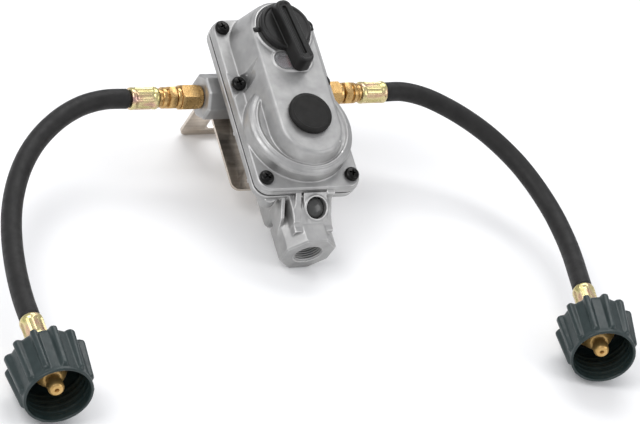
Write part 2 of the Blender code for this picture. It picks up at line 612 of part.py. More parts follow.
def add_stage_two(materials, seat):
    front = out_of_face(0, STAGE_TWO_Z)
    axis = (0.0, 0.0, STAGE_TWO_Z)
    cap = turned(
        ((0, 21.5 * MM), (7.2 * MM, 21.5 * MM), (7.2 * MM, 15 * MM), (9.1 * MM, 15 * MM),
         (9.1 * MM, 20.8 * MM),
         (CAP_RADIUS, 20.8 * MM), (CAP_RADIUS, 23.2 * MM), (CAP_RADIUS - 0.9 * MM, 24.1 * MM),
         (0, 24.1 * MM)),
        32, front)
    add_object("adjuster_cap", cap, materials["cap_plastic"], seat, axis)
    adjuster = turned(
        ((2.6 * MM, 10.8 * MM), (9.0 * MM, 10.8 * MM), (9.0 * MM, 13.8 * MM), (2.6 * MM, 13.8 * MM)), 6,
        front, ring=True)
    screw = add_object("adjusting_screw", adjuster, materials["brass"], seat, axis)
    combine(screw, "UNION", [turned(
        ((3.4 * MM, 11.2 * MM), (9.1 * MM, 11.2 * MM), (9.1 * MM, 13.4 * MM), (3.4 * MM, 13.4 * MM)), 16,
        front, ring=True)])
    add_coil("regulating_spring", front, materials["spring_steel"], seat,
             radius=6.6 * MM, wire=0.8 * MM, turns=4.5, start=-2.6 * MM, end=8.4 * MM)
    plate = turned(
        ((0, -11.8 * MM), (2.6 * MM, -11.8 * MM), (2.6 * MM, -5.3 * MM), (3.4 * MM, -5.3 * MM),
         (15 * MM, -5.3 * MM),
         (16.2 * MM, -2.6 * MM), (15.4 * MM, -2.6 * MM), (14.2 * MM, -4.2 * MM), (0, -4.2 * MM)), 20, front)
    add_object("stage_two_plate", plate, materials["spring_steel"], seat)
    disc = turned(
        ((3.2 * MM, -SHEET_BACK), (21.8 * MM, -SHEET_BACK), (21.8 * MM, -SHEET_FRONT),
         (3.2 * MM, -SHEET_FRONT)),
        24, front, ring=True)
    add_object("stage_two_diaphragm", disc, materials["rubber"], seat)

    lever = block_x(
        ((12.4 * MM, 29.5 * MM), (13.6 * MM, 29.5 * MM), (13.6 * MM, 16.6 * MM), (21 * MM, 14.6 * MM),
         (21 * MM, 13.0 * MM), (12.4 * MM, 13.0 * MM)), -2.2 * MM, 2.2 * MM)
    pin_axis = (0.0, 15.0 * MM, 15.0 * MM)
    lever_object = add_object("stage_two_lever", lever, materials["stainless"], seat, pin_axis)
    hole = turned(((0, -4 * MM), (1.5 * MM, -4 * MM), (1.5 * MM, 4 * MM), (0, 4 * MM)), 12,
                  frame_along((1, 0, 0), pin_axis))
    combine(lever_object, "DIFFERENCE", [hole])
    pin = turned(((0, -4.6 * MM), (1.15 * MM, -4.6 * MM), (1.15 * MM, 4.6 * MM), (0, 4.6 * MM)), 10,
                 frame_along((1, 0, 0), pin_axis))
    add_object("stage_two_pin", pin, materials["stainless"], seat)
    along_bore = frame_along((0, 0, 1), (0, 20 * MM, 0))
    holder = turned(
        ((0, 15.9 * MM), (1.6 * MM, 15.9 * MM), (1.6 * MM, 35 * MM), (4.6 * MM, 35 * MM),
         (4.6 * MM, 38 * MM),
         (0, 38 * MM)), 12, along_bore)
    add_object("stage_two_valve", holder, materials["rubber"], seat, (0, 20 * MM, 35 * MM))
    orifice = turned(
        ((1.8 * MM, 39.6 * MM), (2.6 * MM, 39.6 * MM), (4.9 * MM, 41 * MM), (4.9 * MM, 48 * MM),
         (1.8 * MM, 48 * MM)),
        12, along_bore, ring=True)
    add_object("stage_two_orifice", orifice, materials["brass"], seat)


def add_stage_one(materials, seat):
    upper = out_of_face(0, STAGE_ONE_Z)
    plate = turned(
        ((0, -10.6 * MM), (2.4 * MM, -10.6 * MM), (2.4 * MM, -5.3 * MM), (12 * MM, -5.3 * MM),
         (12 * MM, -4.3 * MM),
         (0, -4.3 * MM)), 16, upper)
    add_object("stage_one_plate", plate, materials["spring_steel"], seat)
    disc = turned(
        ((3.2 * MM, -SHEET_BACK), (17.4 * MM, -SHEET_BACK), (17.4 * MM, -SHEET_FRONT),
         (3.2 * MM, -SHEET_FRONT)),
        20, upper, ring=True)
    add_object("stage_one_diaphragm", disc, materials["rubber"], seat)
    add_coil("stage_one_spring", upper, materials["spring_steel"], seat,
             radius=5.6 * MM, wire=0.7 * MM, turns=4.5, start=-2.9 * MM, end=8.6 * MM)

    pivot = (0.0, 17.0 * MM, INLET_Z)
    rocker = block_y(
        ((-1.6 * MM, INLET_Z - 4 * MM), (1.6 * MM, INLET_Z - 4 * MM), (1.6 * MM, INLET_Z + 4 * MM),
         (-1.6 * MM, INLET_Z + 4 * MM)), 14 * MM, 31 * MM)
    rocker_object = add_object("selector_rocker", rocker, materials["brass"], seat, pivot)
    pivot_frame = frame_along((0, 0, 1), pivot)
    combine(rocker_object, "DIFFERENCE", [turned(
        ((0, -6 * MM), (1.0 * MM, -6 * MM), (1.0 * MM, 6 * MM), (0, 6 * MM)), 10, pivot_frame)])
    pin = turned(((0, -6.6 * MM), (0.7 * MM, -6.6 * MM), (0.7 * MM, 6.6 * MM),
        (0, 6.6 * MM)), 8, pivot_frame)
    add_object("rocker_pin", pin, materials["stainless"], seat)


# ---------------------------------------------------------------- inlets and pigtails

def inlet_frame(side):
    """A frame on the inlet axis whose Z axis points out of that side of the housing."""
    return frame_along((side, 0, 0), (0, INLET_Y, INLET_Z))


def add_inlet(name, side, materials, seat):
    frame = inlet_frame(side)
    poppet = turned(
        ((0, 2.6 * MM), (1.2 * MM, 2.6 * MM), (1.2 * MM, 12 * MM), (4.3 * MM, 13 * MM),
         (4.3 * MM, 15.5 * MM),
         (2.0 * MM, 15.5 * MM), (2.0 * MM, 18 * MM), (0, 18 * MM)), 12, frame)
    add_object(f"inlet_valve_{name}", poppet, materials["rubber"], seat, (side * 14 * MM, INLET_Y, INLET_Z))
    add_coil(f"inlet_spring_{name}", frame, materials["spring_steel"], seat,
             radius=3.5 * MM, wire=0.5 * MM, turns=4, start=17.0 * MM, end=28.6 * MM)

    nut = turned(
        ((3.4 * MM, 30 * MM), (5.2 * MM, 30 * MM), (5.2 * MM, 39.4 * MM), (6.6 * MM, 39.4 * MM),
         (7.1 * MM, 40.2 * MM), (7.1 * MM, 43 * MM), (6.4 * MM, 43 * MM), (6.4 * MM, 55 * MM),
         (5.6 * MM, 55.7 * MM), (3.4 * MM, 55.7 * MM)), 16, frame, ring=True)
    flare = add_object(f"flare_nut_{name}", nut, materials["brass"], seat, (side * 47.7 * MM, INLET_Y,
        INLET_Z))
    across_corners = 14.3 * MM / math.sqrt(3)
    hexagon = turned(
        ((5.0 * MM, 42.4 * MM), (7.1 * MM, 42.4 * MM), (across_corners, 43.4 * MM),
         (across_corners, 52.2 * MM),
         (7.1 * MM, 53 * MM), (5.0 * MM, 53 * MM)), 6, frame, phase=math.pi / 6, ring=True)
    combine(flare, "UNION", [hexagon])

    stem = turned(
        ((0, 41 * MM), (2.9 * MM, 41 * MM), (2.9 * MM, 56.2 * MM), (5.4 * MM, 56.2 * MM),
         (5.9 * MM, 57 * MM),
         (5.9 * MM, 61.2 * MM), (6.3 * MM, 61.9 * MM), (6.3 * MM, 64.4 * MM), (5.5 * MM, 65 * MM),
         (5.5 * MM, 67.2 * MM), (0, 67.2 * MM)), 16, frame)
    stem_object = add_object(f"hose_stem_{name}", stem, materials["brass"], seat)
    stem_corners = 12.8 * MM / math.sqrt(3)
    stem_hexagon = turned(
        ((0, 56.0 * MM), (6.2 * MM, 56.0 * MM), (stem_corners, 56.9 * MM), (stem_corners, 60.2 * MM),
         (6.2 * MM, 61 * MM), (0, 61 * MM)), 6, frame, phase=math.pi / 6)
    combine(stem_object, "UNION", [stem_hexagon])
    add_object(f"near_ferrule_{name}", ferrule_shape(frame, FERRULE_START, FERRULE_END),
               materials["yellow_zinc"], seat)


def ferrule_shape(frame, start, end):
    """A crimped ferrule: round lips and a waist pressed in by the crimping dies."""
    full = FERRULE_RADIUS
    waist = FERRULE_RADIUS - 0.35 * MM
    return turned(
        ((0, start), (full - 1.1 * MM, start), (full, start + 1.4 * MM), (waist, start + 3.8 * MM),
         (waist, end - 4.2 * MM), (full, end - 2.6 * MM), (full, end), (0, end)), 16, frame)


def spline_through(points, spacing):
    """Points every so often on a smooth curve through the route's own points."""
    knots = [Vector(point) for point in points]
    padded = [2 * knots[0] - knots[1], *knots, 2 * knots[-1] - knots[-2]]
    dense = []
    for a, b, c, d in zip(padded, padded[1:], padded[2:], padded[3:]):
        for step in range(12):
            t = step / 12
            dense.append(0.5 * ((2 * b) + (c - a) * t + (2 * a - 5 * b + 4 * c - d) * t * t
                                + (3 * b - a - 3 * c + d) * t ** 3))
    dense.append(knots[-1])
    lengths = [0.0]
    for first, second in zip(dense, dense[1:]):
        lengths.append(lengths[-1] + (second - first).length)
    count = round(lengths[-1] / spacing)
    chosen = []
    for i in range(count + 1):
        target = lengths[-1] * i / count
        index = min(range(len(lengths)), key=lambda k: abs(lengths[k] - target))
        chosen.append(dense[index])
    return chosen


def add_hose(name, materials):
    route = ROUTES[name]
    middle = spline_through(route[1:-1], HOSE_POINT_SPACING)
    points = [Vector(route[0]), *middle, Vector(route[-1])]
    curve = bpy.data.curves.new(f"hose_{name}", "CURVE")
    curve.dimensions = "3D"
    curve.bevel_depth = HOSE_RADIUS
    curve.bevel_resolution = 3
    curve.use_fill_caps = True
    spline = curve.splines.new("POLY")
    spline.points.add(len(points) - 1)
    for point, place in zip(spline.points, points):
        point.co = (*place, 1.0)
    curve.materials.append(materials["hose_rubber"])
    hose = bpy.data.objects.new(f"hose_{name}", curve)
    bpy.context.scene.collection.objects.link(hose)


def nut_section(height, body_radius, rib_radius):
    """One outline across the handwheel nut, with its grip ribs."""
    pitch = math.tau / NUT_RIBS
    shape = ((-15.0, 0.0), (-8.0, 0.0), (-5.0, 1.0), (5.0, 1.0), (8.0, 0.0))
    section = []
    for rib in range(NUT_RIBS):
        for degrees, share in shape:
            angle = rib * pitch + math.radians(degrees)
            radius = body_radius + (rib_radius - body_radius) * share
            section.append(Vector((radius * math.cos(angle), radius * math.sin(angle), height)))
    return section


def add_handwheel_nut(name, materials, centre):
    body = NUT_BODY_RADIUS
    lip = NUT_LIP_RADIUS
    rib = NUT_RIB_RADIUS
    half = NUT_HALF_LENGTH
    front = rib - NUT_RIB_TAPER
    sections = [
        nut_section(-half, body - 2.6 * MM, body - 2.6 * MM),
        nut_section(-half + 0.9 * MM, body - 0.8 * MM, rib - 1.5 * MM),
        nut_section(-half + 2.6 * MM, body, rib),
        nut_section(half - 4.6 * MM, lip + 0.1 * MM, front),
        nut_section(half - 2.2 * MM, lip, lip + 0.3 * MM),
        nut_section(half, lip - 0.4 * MM, lip - 0.4 * MM),
    ]
    nut = add_object(f"acme_nut_{name}", loft(sections), materials["green_nylon"], centre)
    upright = Matrix.Identity(4)
    hollow = turned(
        ((0, -half - 1 * MM), (NUT_NECK_HOLE, -half - 1 * MM), (NUT_NECK_HOLE, NUT_FLOOR),
         (NUT_MOUTH_RADIUS, NUT_FLOOR), (NUT_MOUTH_RADIUS, half - 1.2 * MM),
         (NUT_MOUTH_RADIUS + 0.7 * MM, half + 0.3 * MM), (0, half + 0.3 * MM)),
        28, upright)
    combine(nut, "DIFFERENCE", [hollow])


def add_connector(name, materials, centre):
    """What is inside a handwheel nut: ferrule, thermal bushing, brass nipple and its check plunger."""
    upright = Matrix.Identity(4)
    add_object(f"far_ferrule_{name}", ferrule_shape(upright, HOSE_END + GAP, FAR_FERRULE_END),
               materials["yellow_zinc"], centre)
    bushing = turned(
        ((6.9 * MM, -11.3 * MM), (15.5 * MM, -11.3 * MM), (15.5 * MM, -9.6 * MM), (6.9 * MM, -9.6 * MM)), 20,
        upright, ring=True)
    add_object(f"thermal_bushing_{name}", bushing, materials["black_plastic"], centre)
    nipple = turned(
        ((0, -26.2 * MM), (5.6 * MM, -26.2 * MM), (5.6 * MM, -18 * MM), (6.3 * MM, -17 * MM),
         (6.3 * MM, -9.2 * MM), (12.2 * MM, -9.2 * MM), (12.2 * MM, -6.6 * MM), (9.6 * MM, -5.8 * MM),
         (9.2 * MM, -1.6 * MM), (5.6 * MM, 3.6 * MM), (3.7 * MM, 4.0 * MM), (3.7 * MM, 5.3 * MM),
         (4.5 * MM, 5.8 * MM), (4.5 * MM, 10.1 * MM), (2.8 * MM, 11.9 * MM), (1.2 * MM, 11.9 * MM),
         (1.2 * MM, 3 * MM), (0, 3 * MM)), 16, upright)
    add_object(f"nipple_{name}", nipple, materials["brass"], centre)
    plunger = turned(((0, 5.1 * MM), (0.8 * MM, 5.1 * MM), (0.8 * MM, 9.1 * MM), (0, 9.1 * MM)), 8, upright)
    add_object(f"check_plunger_{name}", plunger, materials["stainless"], centre)


# ---------------------------------------------------------------- assembly

def lying_pose():
    """Lays the upright body frame on its back, with its top raised by the lean angle."""
    return Matrix.Translation(BODY_ORIGIN) @ Matrix.Rotation(LEAN - math.pi / 2, 4, "X")


def nut_centre(name):
    end = Vector(ROUTES[name][-1])
    heading = NUT_HEADINGS[name]
    direction = Vector((math.sin(heading), -math.cos(heading), 0.0))
    across = Vector((0.0, 0.0, -1.0))
    rotation = Matrix((across, direction.cross(across), direction)).transposed()
    centre = end - direction * HOSE_END
    centre.z = NUT_AXIS_HEIGHT
    return add_empty(f"nut_centre_{name}", Matrix.Translation(centre) @ rotation.to_4x4())


def main():
    clear_scene()
    materials = make_materials()
    seat = add_empty("regulator_seat", lying_pose())
    add_front_cover(materials, seat)
    add_rear_body(materials, seat)
    add_port_plug(materials, seat)
    add_diaphragm_sheet(materials, seat)
    add_bracket(materials, seat)
    add_screws(materials, seat)
    add_knob(materials, seat)
    add_window(materials, seat)
    add_stage_two(materials, seat)
    add_stage_one(materials, seat)
    for name, side in (("left", -1), ("right", 1)):
        add_inlet(name, side, materials, seat)
        add_hose(name, materials)
        centre = nut_centre(name)
        add_handwheel_nut(name, materials, centre)
        add_connector(name, materials, centre)


main()
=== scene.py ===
"""Looks of the changeover regulator with its two pigtail hoses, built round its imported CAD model.

Pieces of the regulator are modelled in its own upright body frame, as in the CAD: X to the right,
Y to the back, Z up along the housing. The frame's joints say where that body frame lies.
"""

import json
import math

import bmesh
import bpy
from mathutils import Matrix, Vector


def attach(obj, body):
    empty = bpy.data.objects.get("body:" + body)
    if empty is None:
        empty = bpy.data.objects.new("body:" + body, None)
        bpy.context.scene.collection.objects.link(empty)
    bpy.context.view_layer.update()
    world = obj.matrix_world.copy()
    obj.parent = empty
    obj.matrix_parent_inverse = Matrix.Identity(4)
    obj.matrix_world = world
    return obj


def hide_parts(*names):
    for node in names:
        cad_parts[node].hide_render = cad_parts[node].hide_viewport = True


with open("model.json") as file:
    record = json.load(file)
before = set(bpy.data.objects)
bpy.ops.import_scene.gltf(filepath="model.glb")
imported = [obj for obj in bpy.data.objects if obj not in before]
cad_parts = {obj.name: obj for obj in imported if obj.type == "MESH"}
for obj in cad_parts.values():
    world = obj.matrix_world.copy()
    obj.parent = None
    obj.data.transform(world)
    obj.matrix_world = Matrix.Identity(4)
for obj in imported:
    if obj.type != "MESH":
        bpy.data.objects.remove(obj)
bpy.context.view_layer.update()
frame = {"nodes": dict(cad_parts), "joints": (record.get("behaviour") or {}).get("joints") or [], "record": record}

MM = 0.001
JOINTS = {joint["name"]: joint for joint in frame["joints"]}
SLOTS = {part["node"]: part["material_slot"] for part in frame["record"]["subparts"]}

# The housing, in its body frame.
FLANGE_HALF_WIDTH = 34.0 * MM
FLANGE_BOTTOM = -8.5 * MM
FLANGE_TOP = 109.5 * MM
FLANGE_CORNER = 9.0 * MM
STAGE_TWO_Z = 29.5 * MM
STAGE_ONE_Z = 88.1 * MM
WINDOW_Z = 66.8 * MM
WINDOW_HALF_SPAN = 5.5 * MM
KNOB_PIVOT_Y = -26.0 * MM
FACE_Y = -20.5 * MM
COVER_BACK = 5.3 * MM
BODY_FRONT = 6.9 * MM
BODY_FLANGE_BACK = 12.2 * MM
SCREW_X = 27.9 * MM
SCREW_Z = (0.0, 63.7 * MM, 102.5 * MM)
BOSS_BASE = (26.8 * MM, 26.5 * MM, 26.6 * MM, 87.5 * MM)
BOSS_FACE = (19.6 * MM, 23.2 * MM, 20.0 * MM, 88.0 * MM)
INLET_Y = 28.3 * MM
INLET_Z = 73.0 * MM
OUTLET_Y = 26.8 * MM
SPINE_BACK = 42.0 * MM
NECK_BACK = 35.0 * MM
BRACKET_FRONT = 42.3 * MM
BRACKET_SHEET = 2.0 * MM
BRACKET_TOP = 84.6 * MM
BRACKET_REACH = 88.8 * MM
BRACKET_HALF_WIDTH = 27.0 * MM
BRACKET_BOTTOM = 17.0 * MM
BRACKET_CORNER = 5.0 * MM
BRACKET_SCREW_Z = (26.0 * MM, 56.0 * MM)
VENT_PLACE = (-22.5 * MM, -4.5 * MM)
PORT_CENTRE = Vector((2.5, 6.3, -17.4)) * MM
PORT_NORMAL = Vector((0.0, -0.875, -0.484))
POINTER_ANGLE = math.radians(8.0)

# Bars and rings of the housing, in millimetres as turned() takes them.
INLET_FLATS = 25.4
INLET_REACH = 39
OUTLET_FLATS = 32
OUTLET_SPAN = (-37, -15)
OUTLET_THREAD = {"root": 8.95, "crest": 7.85, "pitch": 1.41, "start": -36.6, "end": -21.0}
FLARE_NUT_FLATS = 14.3
STEM_FLATS = 12.8

# How finely the rounded castings and the knob are remeshed, and what share of the faces they keep.
CASTING_VOXEL = 0.42 * MM
CASTING_KEPT = 0.3
KNOB_VOXEL = 0.26 * MM
KNOB_KEPT = 0.35

# The pigtails.
HOSE_RADIUS = 5.95 * MM
FERRULE_START = 67.5 * MM
FERRULE_END = 85.3 * MM
FERRULE_RADIUS = 6.75 * MM
FAR_FERRULE = (-44.4, -26.6)
NUT_RIBS = 12
NUT_HALF_LENGTH = 16.2 * MM
NUT_BODY_RADIUS = 20.1 * MM
NUT_LIP_RADIUS = 19.2 * MM
NUT_RIB_RADIUS = 22.9 * MM
NUT_RIB_TAPER = 2.0 * MM
NUT_MOUTH_RADIUS = 17.2 * MM
NUT_NECK_HOLE = 7.9 * MM
NUT_FLOOR = -11.8 * MM

# The hoses' routes, in metres, from the near ferrule to the far one.
ROUTES = {
    "left": (
        (-0.0856, 0.0379, 0.0530), (-0.1000, 0.0377, 0.0530), (-0.1140, 0.0347, 0.0521),
        (-0.1268, 0.0293, 0.0501), (-0.1385, 0.0219, 0.0475), (-0.1490, 0.0132, 0.0444),
        (-0.1582, 0.0032, 0.0409), (-0.1660, -0.0080, 0.0373), (-0.1725, -0.0201, 0.0338),
        (-0.1778, -0.0329, 0.0306), (-0.1820, -0.0463, 0.0280), (-0.1854, -0.0600, 0.0259),
        (-0.1882, -0.0740, 0.0244), (-0.1905, -0.0881, 0.0234), (-0.1923, -0.1021, 0.0230),
        (-0.1935, -0.1160, 0.0230),
    ),
    "right": (
        (0.0856, 0.0379, 0.0530), (0.0991, 0.0376, 0.0530), (0.1122, 0.0330, 0.0521),
        (0.1247, 0.0257, 0.0497), (0.1362, 0.0172, 0.0465), (0.1467, 0.0078, 0.0426),
        (0.1554, -0.0028, 0.0385), (0.1625, -0.0143, 0.0344), (0.1675, -0.0263, 0.0305),
        (0.1706, -0.0392, 0.0272), (0.1719, -0.0527, 0.0247), (0.1714, -0.0665, 0.0229),
        (0.1695, -0.0801, 0.0220), (0.1662, -0.0937, 0.0219), (0.1620, -0.1070, 0.0225),
        (0.1580, -0.1202, 0.0230),
    ),
}
SIDES = {"left": -1, "right": 1}

# Camera.
CAMERA_PLACE = Vector((-0.8087, -1.2313, 1.0348))
CAMERA_ANGLES = (53.630, -15.403, -23.618)
CAMERA_LENS = 168.75


# ---------------------------------------------------------------- frames

def frame_along(direction, origin):
    """A frame whose Z axis points along direction."""
    z = Vector(direction).normalized()
    helper = Vector((0, 0, 1)) if abs(z.z) < 0.9 else Vector((0, 1, 0))
    x = helper.cross(z).normalized()
    rotation = Matrix((x, z.cross(x), z)).transposed()
    return Matrix.Translation(Vector(origin)) @ rotation.to_4x4()


def body_frame():
    """Where the housing's upright body frame lies, from its joints."""
    back = -Vector(JOINTS["knob_turn"]["axis"]).normalized()
    up = Vector(JOINTS["rocker_tilt"]["axis"]).normalized()
    pivot = Vector(JOINTS["knob_turn"]["pos_m"])
    origin = pivot - back * KNOB_PIVOT_Y - up * STAGE_ONE_Z
    rotation = Matrix((back.cross(up), back, up)).transposed()
    return Matrix.Translation(origin) @ rotation.to_4x4()


SEAT = body_frame()


def out_of_face(x, z, y=0.0):
    """A frame on a plane parallel to the front, with its Z axis pointing out of the front."""
    return frame_along((0, -1, 0), (x, y, z))


def nut_frame(name):
    joint = JOINTS[f"{name}_handwheel_spin"]
    return frame_along(joint["axis"], joint["pos_m"])


def inlet_frame(side):
    return frame_along((side, 0, 0), (0, INLET_Y, INLET_Z))


# ---------------------------------------------------------------- shapes

def loft(sections, capped=True):
    """A skin through outlines that all have the same number of points."""
    shape = bmesh.new()
    rings = [[shape.verts.new(point) for point in section] for section in sections]
    count = len(rings[0])
    for ring, following in zip(rings, rings[1:]):
        for i in range(count):
            j = (i + 1) % count
            shape.faces.new((ring[i], ring[j], following[j], following[i]))
    if capped:
        shape.faces.new(rings[0])
        shape.faces.new(rings[-1])
    return shape


def block_y(outline, front, back):
    return loft([[Vector((x, y, z)) for x, z in outline] for y in (front, back)])


def block_x(outline, left, right):
    return loft([[Vector((x, y, z)) for y, z in outline] for x in (left, right)])


def box(low, high):
    outline = [(low[0], low[2]), (high[0], low[2]), (high[0], high[2]), (low[0], high[2])]
    return block_y(outline, low[1], high[1])


def hull(points):
    """The smallest convex solid round some points, given in millimetres."""
    shape = bmesh.new()
    for point in points:
        shape.verts.new(Vector(point) * MM)
    bmesh.ops.convex_hull(shape, input=shape.verts)
    return shape


def join_rings(shape, rings, segments, closed=False):
    """Faces between rings of points. A ring of one point is a tip."""
    following = [*rings[1:], rings[0]] if closed else rings[1:]
    for first, second in zip(rings, following):
        for k in range(segments):
            j = (k + 1) % segments
            corners = [first[k % len(first)], first[j % len(first)],
                       second[j % len(second)], second[k % len(second)]]
            shape.faces.new(list(dict.fromkeys(corners)))


def ring_at(shape, height, reach, segments):
    """A ring of points round the Z axis, in millimetres. Its radius is reach(angle)."""
    return [
        shape.verts.new(Vector((reach(t) * math.cos(t), reach(t) * math.sin(t), height)) * MM)
        for t in (math.tau * k / segments for k in range(segments))
    ]


def finished_mesh(shape, name, planar=False):
    """The shape as a mesh, with its normals facing out and, if asked, with flat faces only."""
    bmesh.ops.recalc_face_normals(shape, faces=shape.faces)
    if planar:
        bmesh.ops.connect_verts_nonplanar(shape, angle_limit=0.0001, faces=shape.faces)
    mesh = bpy.data.meshes.new(name)
    shape.to_mesh(mesh)
    shape.free()
    return mesh


def turned(profile, segments=96, place=Matrix.Identity(4), phase=0.011, ring=False):
    """A profile of (radius, height) in millimetres, turned about the place's Z axis."""
    shape = bmesh.new()
    turns = [phase + math.tau * i / segments for i in range(segments)]
    loops = []
    for radius, height in profile:
        if radius == 0.0:
            loops.append([shape.verts.new(place @ Vector((0, 0, height * MM)))])
        else:
            loops.append([
                shape.verts.new(place @ (Vector((radius * math.cos(t), radius * math.sin(t), height)) * MM))
                for t in turns
            ])
    join_rings(shape, loops, segments, closed=ring)
    return shape


def drum(radius, start, end, segments, place=Matrix.Identity(4)):
    """A plain cylinder; sizes in millimetres along its Z axis."""
    return turned(((0, start), (radius, start), (radius, end), (0, end)), segments, place)


def arc(radius, centre, start, end, count):
    return [
        (centre[0] + radius * math.cos(t), centre[1] + radius * math.sin(t))
        for t in (math.radians(start + (end - start) * i / count) for i in range(count + 1))
    ]


def rounded_rectangle(left, right, bottom, top, radius, count=10):
    return (
        arc(radius, (right - radius, bottom + radius), -90, 0, count)
        + arc(radius, (right - radius, top - radius), 0, 90, count)
        + arc(radius, (left + radius, top - radius), 90, 180, count)
        + arc(radius, (left + radius, bottom + radius), 180, 270, count)
    )


def stadium(half_span, radius, centre_z, count=20):
    return (arc(radius, (half_span, centre_z), -90, 90, count)
            + arc(radius, (-half_span, centre_z), 90, 270, count))


def egg(lower_radius, lower_z, upper_radius, upper_z, count=40):
    return (arc(lower_radius, (0.0, lower_z), 180, 360, count)
            + arc(upper_radius, (0.0, upper_z), 0, 180, count))


def smooth_step(value, start, end):
    t = min(1.0, max(0.0, (value - start) / (end - start)))
    return t * t * (3 - 2 * t)


# ---------------------------------------------------------------- objects

def linked_object(name, data):
    obj = bpy.data.objects.new(name, data)
    bpy.context.scene.collection.objects.link(obj)
    return obj


def bare_object(name, shape):
    return linked_object(name, finished_mesh(shape, name, planar=True))


def baked_mesh(obj):
    """The object's mesh with its modifiers applied. The object itself is removed."""
    graph = bpy.context.evaluated_depsgraph_get()
    mesh = bpy.data.meshes.new_from_object(obj.evaluated_get(graph))
    bpy.data.objects.remove(obj)
    return mesh


def carved(base, joined=(), cut=(), kept=()):
    """One solid mesh: the base with some shapes joined to it, others cut from it, and only what lies in
    each of the kept shapes left of it."""
    target = bare_object("carved", base)
    helpers = []
    for operation, shapes in (("UNION", joined), ("DIFFERENCE", cut), ("INTERSECT", kept)):
        for shape in shapes:
            helper = bare_object("helper", shape)
            helpers.append(helper)
            modifier = target.modifiers.new("boolean", "BOOLEAN")
            modifier.operation = operation
            modifier.solver = "MANIFOLD"
            modifier.object = helper
    mesh = baked_mesh(target)
    for helper in helpers:
        bpy.data.objects.remove(helper)
    return mesh


def softened(mesh, voxel, rounds, keep):
    """Rounds every edge as a casting or moulding has it, then thins the mesh out again."""
    obj = linked_object("softened", mesh)
    remesh = obj.modifiers.new("remesh", "REMESH")
    remesh.mode = "VOXEL"
    remesh.voxel_size = voxel
    smooth = obj.modifiers.new("smooth", "SMOOTH")
    smooth.factor = 0.5
    smooth.iterations = rounds
    thin = obj.modifiers.new("thin", "DECIMATE")
    thin.ratio = keep
    return baked_mesh(obj)


def bevelled(mesh, width, segments=2, angle=35.0):
    obj = linked_object("bevelled", mesh)
    bevel = obj.modifiers.new("bevel", "BEVEL")
    bevel.width = width
    bevel.segments = segments
    bevel.limit_method = "ANGLE"
    bevel.angle_limit = math.radians(angle)
    return baked_mesh(obj)


def mesh_of(shape, name="shape"):
    return baked_mesh(bare_object(name, shape))


def place_piece(name, mesh, material, body, matrix, stands_for=(), sharp=None):
    """A shown piece on its CAD body, in place of the CAD nodes that it stands for."""
    mesh.name = name
    if matrix == SEAT:
        # The housing leans back, so its own pieces hold their points in the row frame, which keeps
        # their boxes tight.
        mesh.transform(SEAT)
        matrix = Matrix.Identity(4)
    mesh.shade_smooth()
    if sharp:
        mesh.set_sharp_from_angle(angle=math.radians(sharp))
    mesh.materials.clear()
    mesh.materials.append(material)
    obj = linked_object(name, mesh)
    obj.matrix_world = matrix
    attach(obj, body)
    if stands_for:
        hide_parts(*stands_for)
    return obj


# ---------------------------------------------------------------- materials

class Surface:
    """A Principled material with its detail made in the object's own space."""

    def __init__(self, name, roughness, metallic=0.0, **settings):
        self.material = bpy.data.materials.new(name)
        self.material.use_nodes = True
        self.tree = self.material.node_tree
        self.shader = self.tree.nodes["Principled BSDF"]
        self.shader.inputs["Roughness"].default_value = roughness
        self.shader.inputs["Metallic"].default_value = metallic
        for socket, value in settings.items():
            self.shader.inputs[socket.replace("_", " ")].default_value = value
        self.place = self.node("ShaderNodeTexCoord").outputs["Object"]
        self.normal = None

    def node(self, kind, **inputs):
        made = self.tree.nodes.new(kind)
        for name, value in inputs.items():
            self.feed(made.inputs[name.replace("_", " ")], value)
        return made

    def feed(self, socket, value):
        if isinstance(value, bpy.types.NodeSocket):
            self.tree.links.new(value, socket)
        else:
            socket.default_value = value

    def noise(self, scale, detail=3.0, stretch=(1.0, 1.0, 1.0), place=None):
        mapping = self.node("ShaderNodeMapping", Vector=place or self.place, Scale=stretch)
        made = self.node("ShaderNodeTexNoise", Vector=mapping.outputs["Vector"], Scale=scale, Detail=detail)
        return made.outputs["Fac"]

    def remap(self, value, low, high, start=0.3, end=0.7):
        made = self.node("ShaderNodeMapRange", Value=value)
        for name, number in (("From Min", start), ("From Max", end), ("To Min", low), ("To Max", high)):
            made.inputs[name].default_value = number
        return made.outputs["Result"]

    def math(self, operation, a, b=0.0, c=0.0):
        made = self.node("ShaderNodeMath")
        made.operation = operation
        for socket, value in zip(made.inputs, (a, b, c)):
            self.feed(socket, value)
        return made.outputs["Value"]

    def ramp(self, value, *stops):
        """Colours at places along 0 to 1: (place, (red, green, blue))."""
        made = self.node("ShaderNodeValToRGB", Fac=value)
        elements = made.color_ramp.elements
        while len(elements) < len(stops):
            elements.new(0.5)
        for element, (place, colour) in zip(elements, stops):
            element.position = place
            element.color = (*colour, 1.0)
        return made.outputs["Color"]

    def blend(self, share, first, second):
        made = self.node("ShaderNodeMix")
        made.data_type = "RGBA"
        self.feed(made.inputs["Factor"], share)
        for socket, value in ((made.inputs[6], first), (made.inputs[7], second)):
            self.feed(socket, value if isinstance(value, bpy.types.NodeSocket) else (*value, 1.0))
        return made.outputs[2]

    def colour(self, value):
        self.feed(self.shader.inputs["Base Color"], value)

    def rough(self, value):
        self.feed(self.shader.inputs["Roughness"], value)

    def bump(self, height, distance, strength=1.0):
        made = self.node("ShaderNodeBump", Height=height, Distance=distance, Strength=strength)
        if self.normal:
            self.feed(made.inputs["Normal"], self.normal)
        self.normal = made.outputs["Normal"]
        self.feed(self.shader.inputs["Normal"], self.normal)


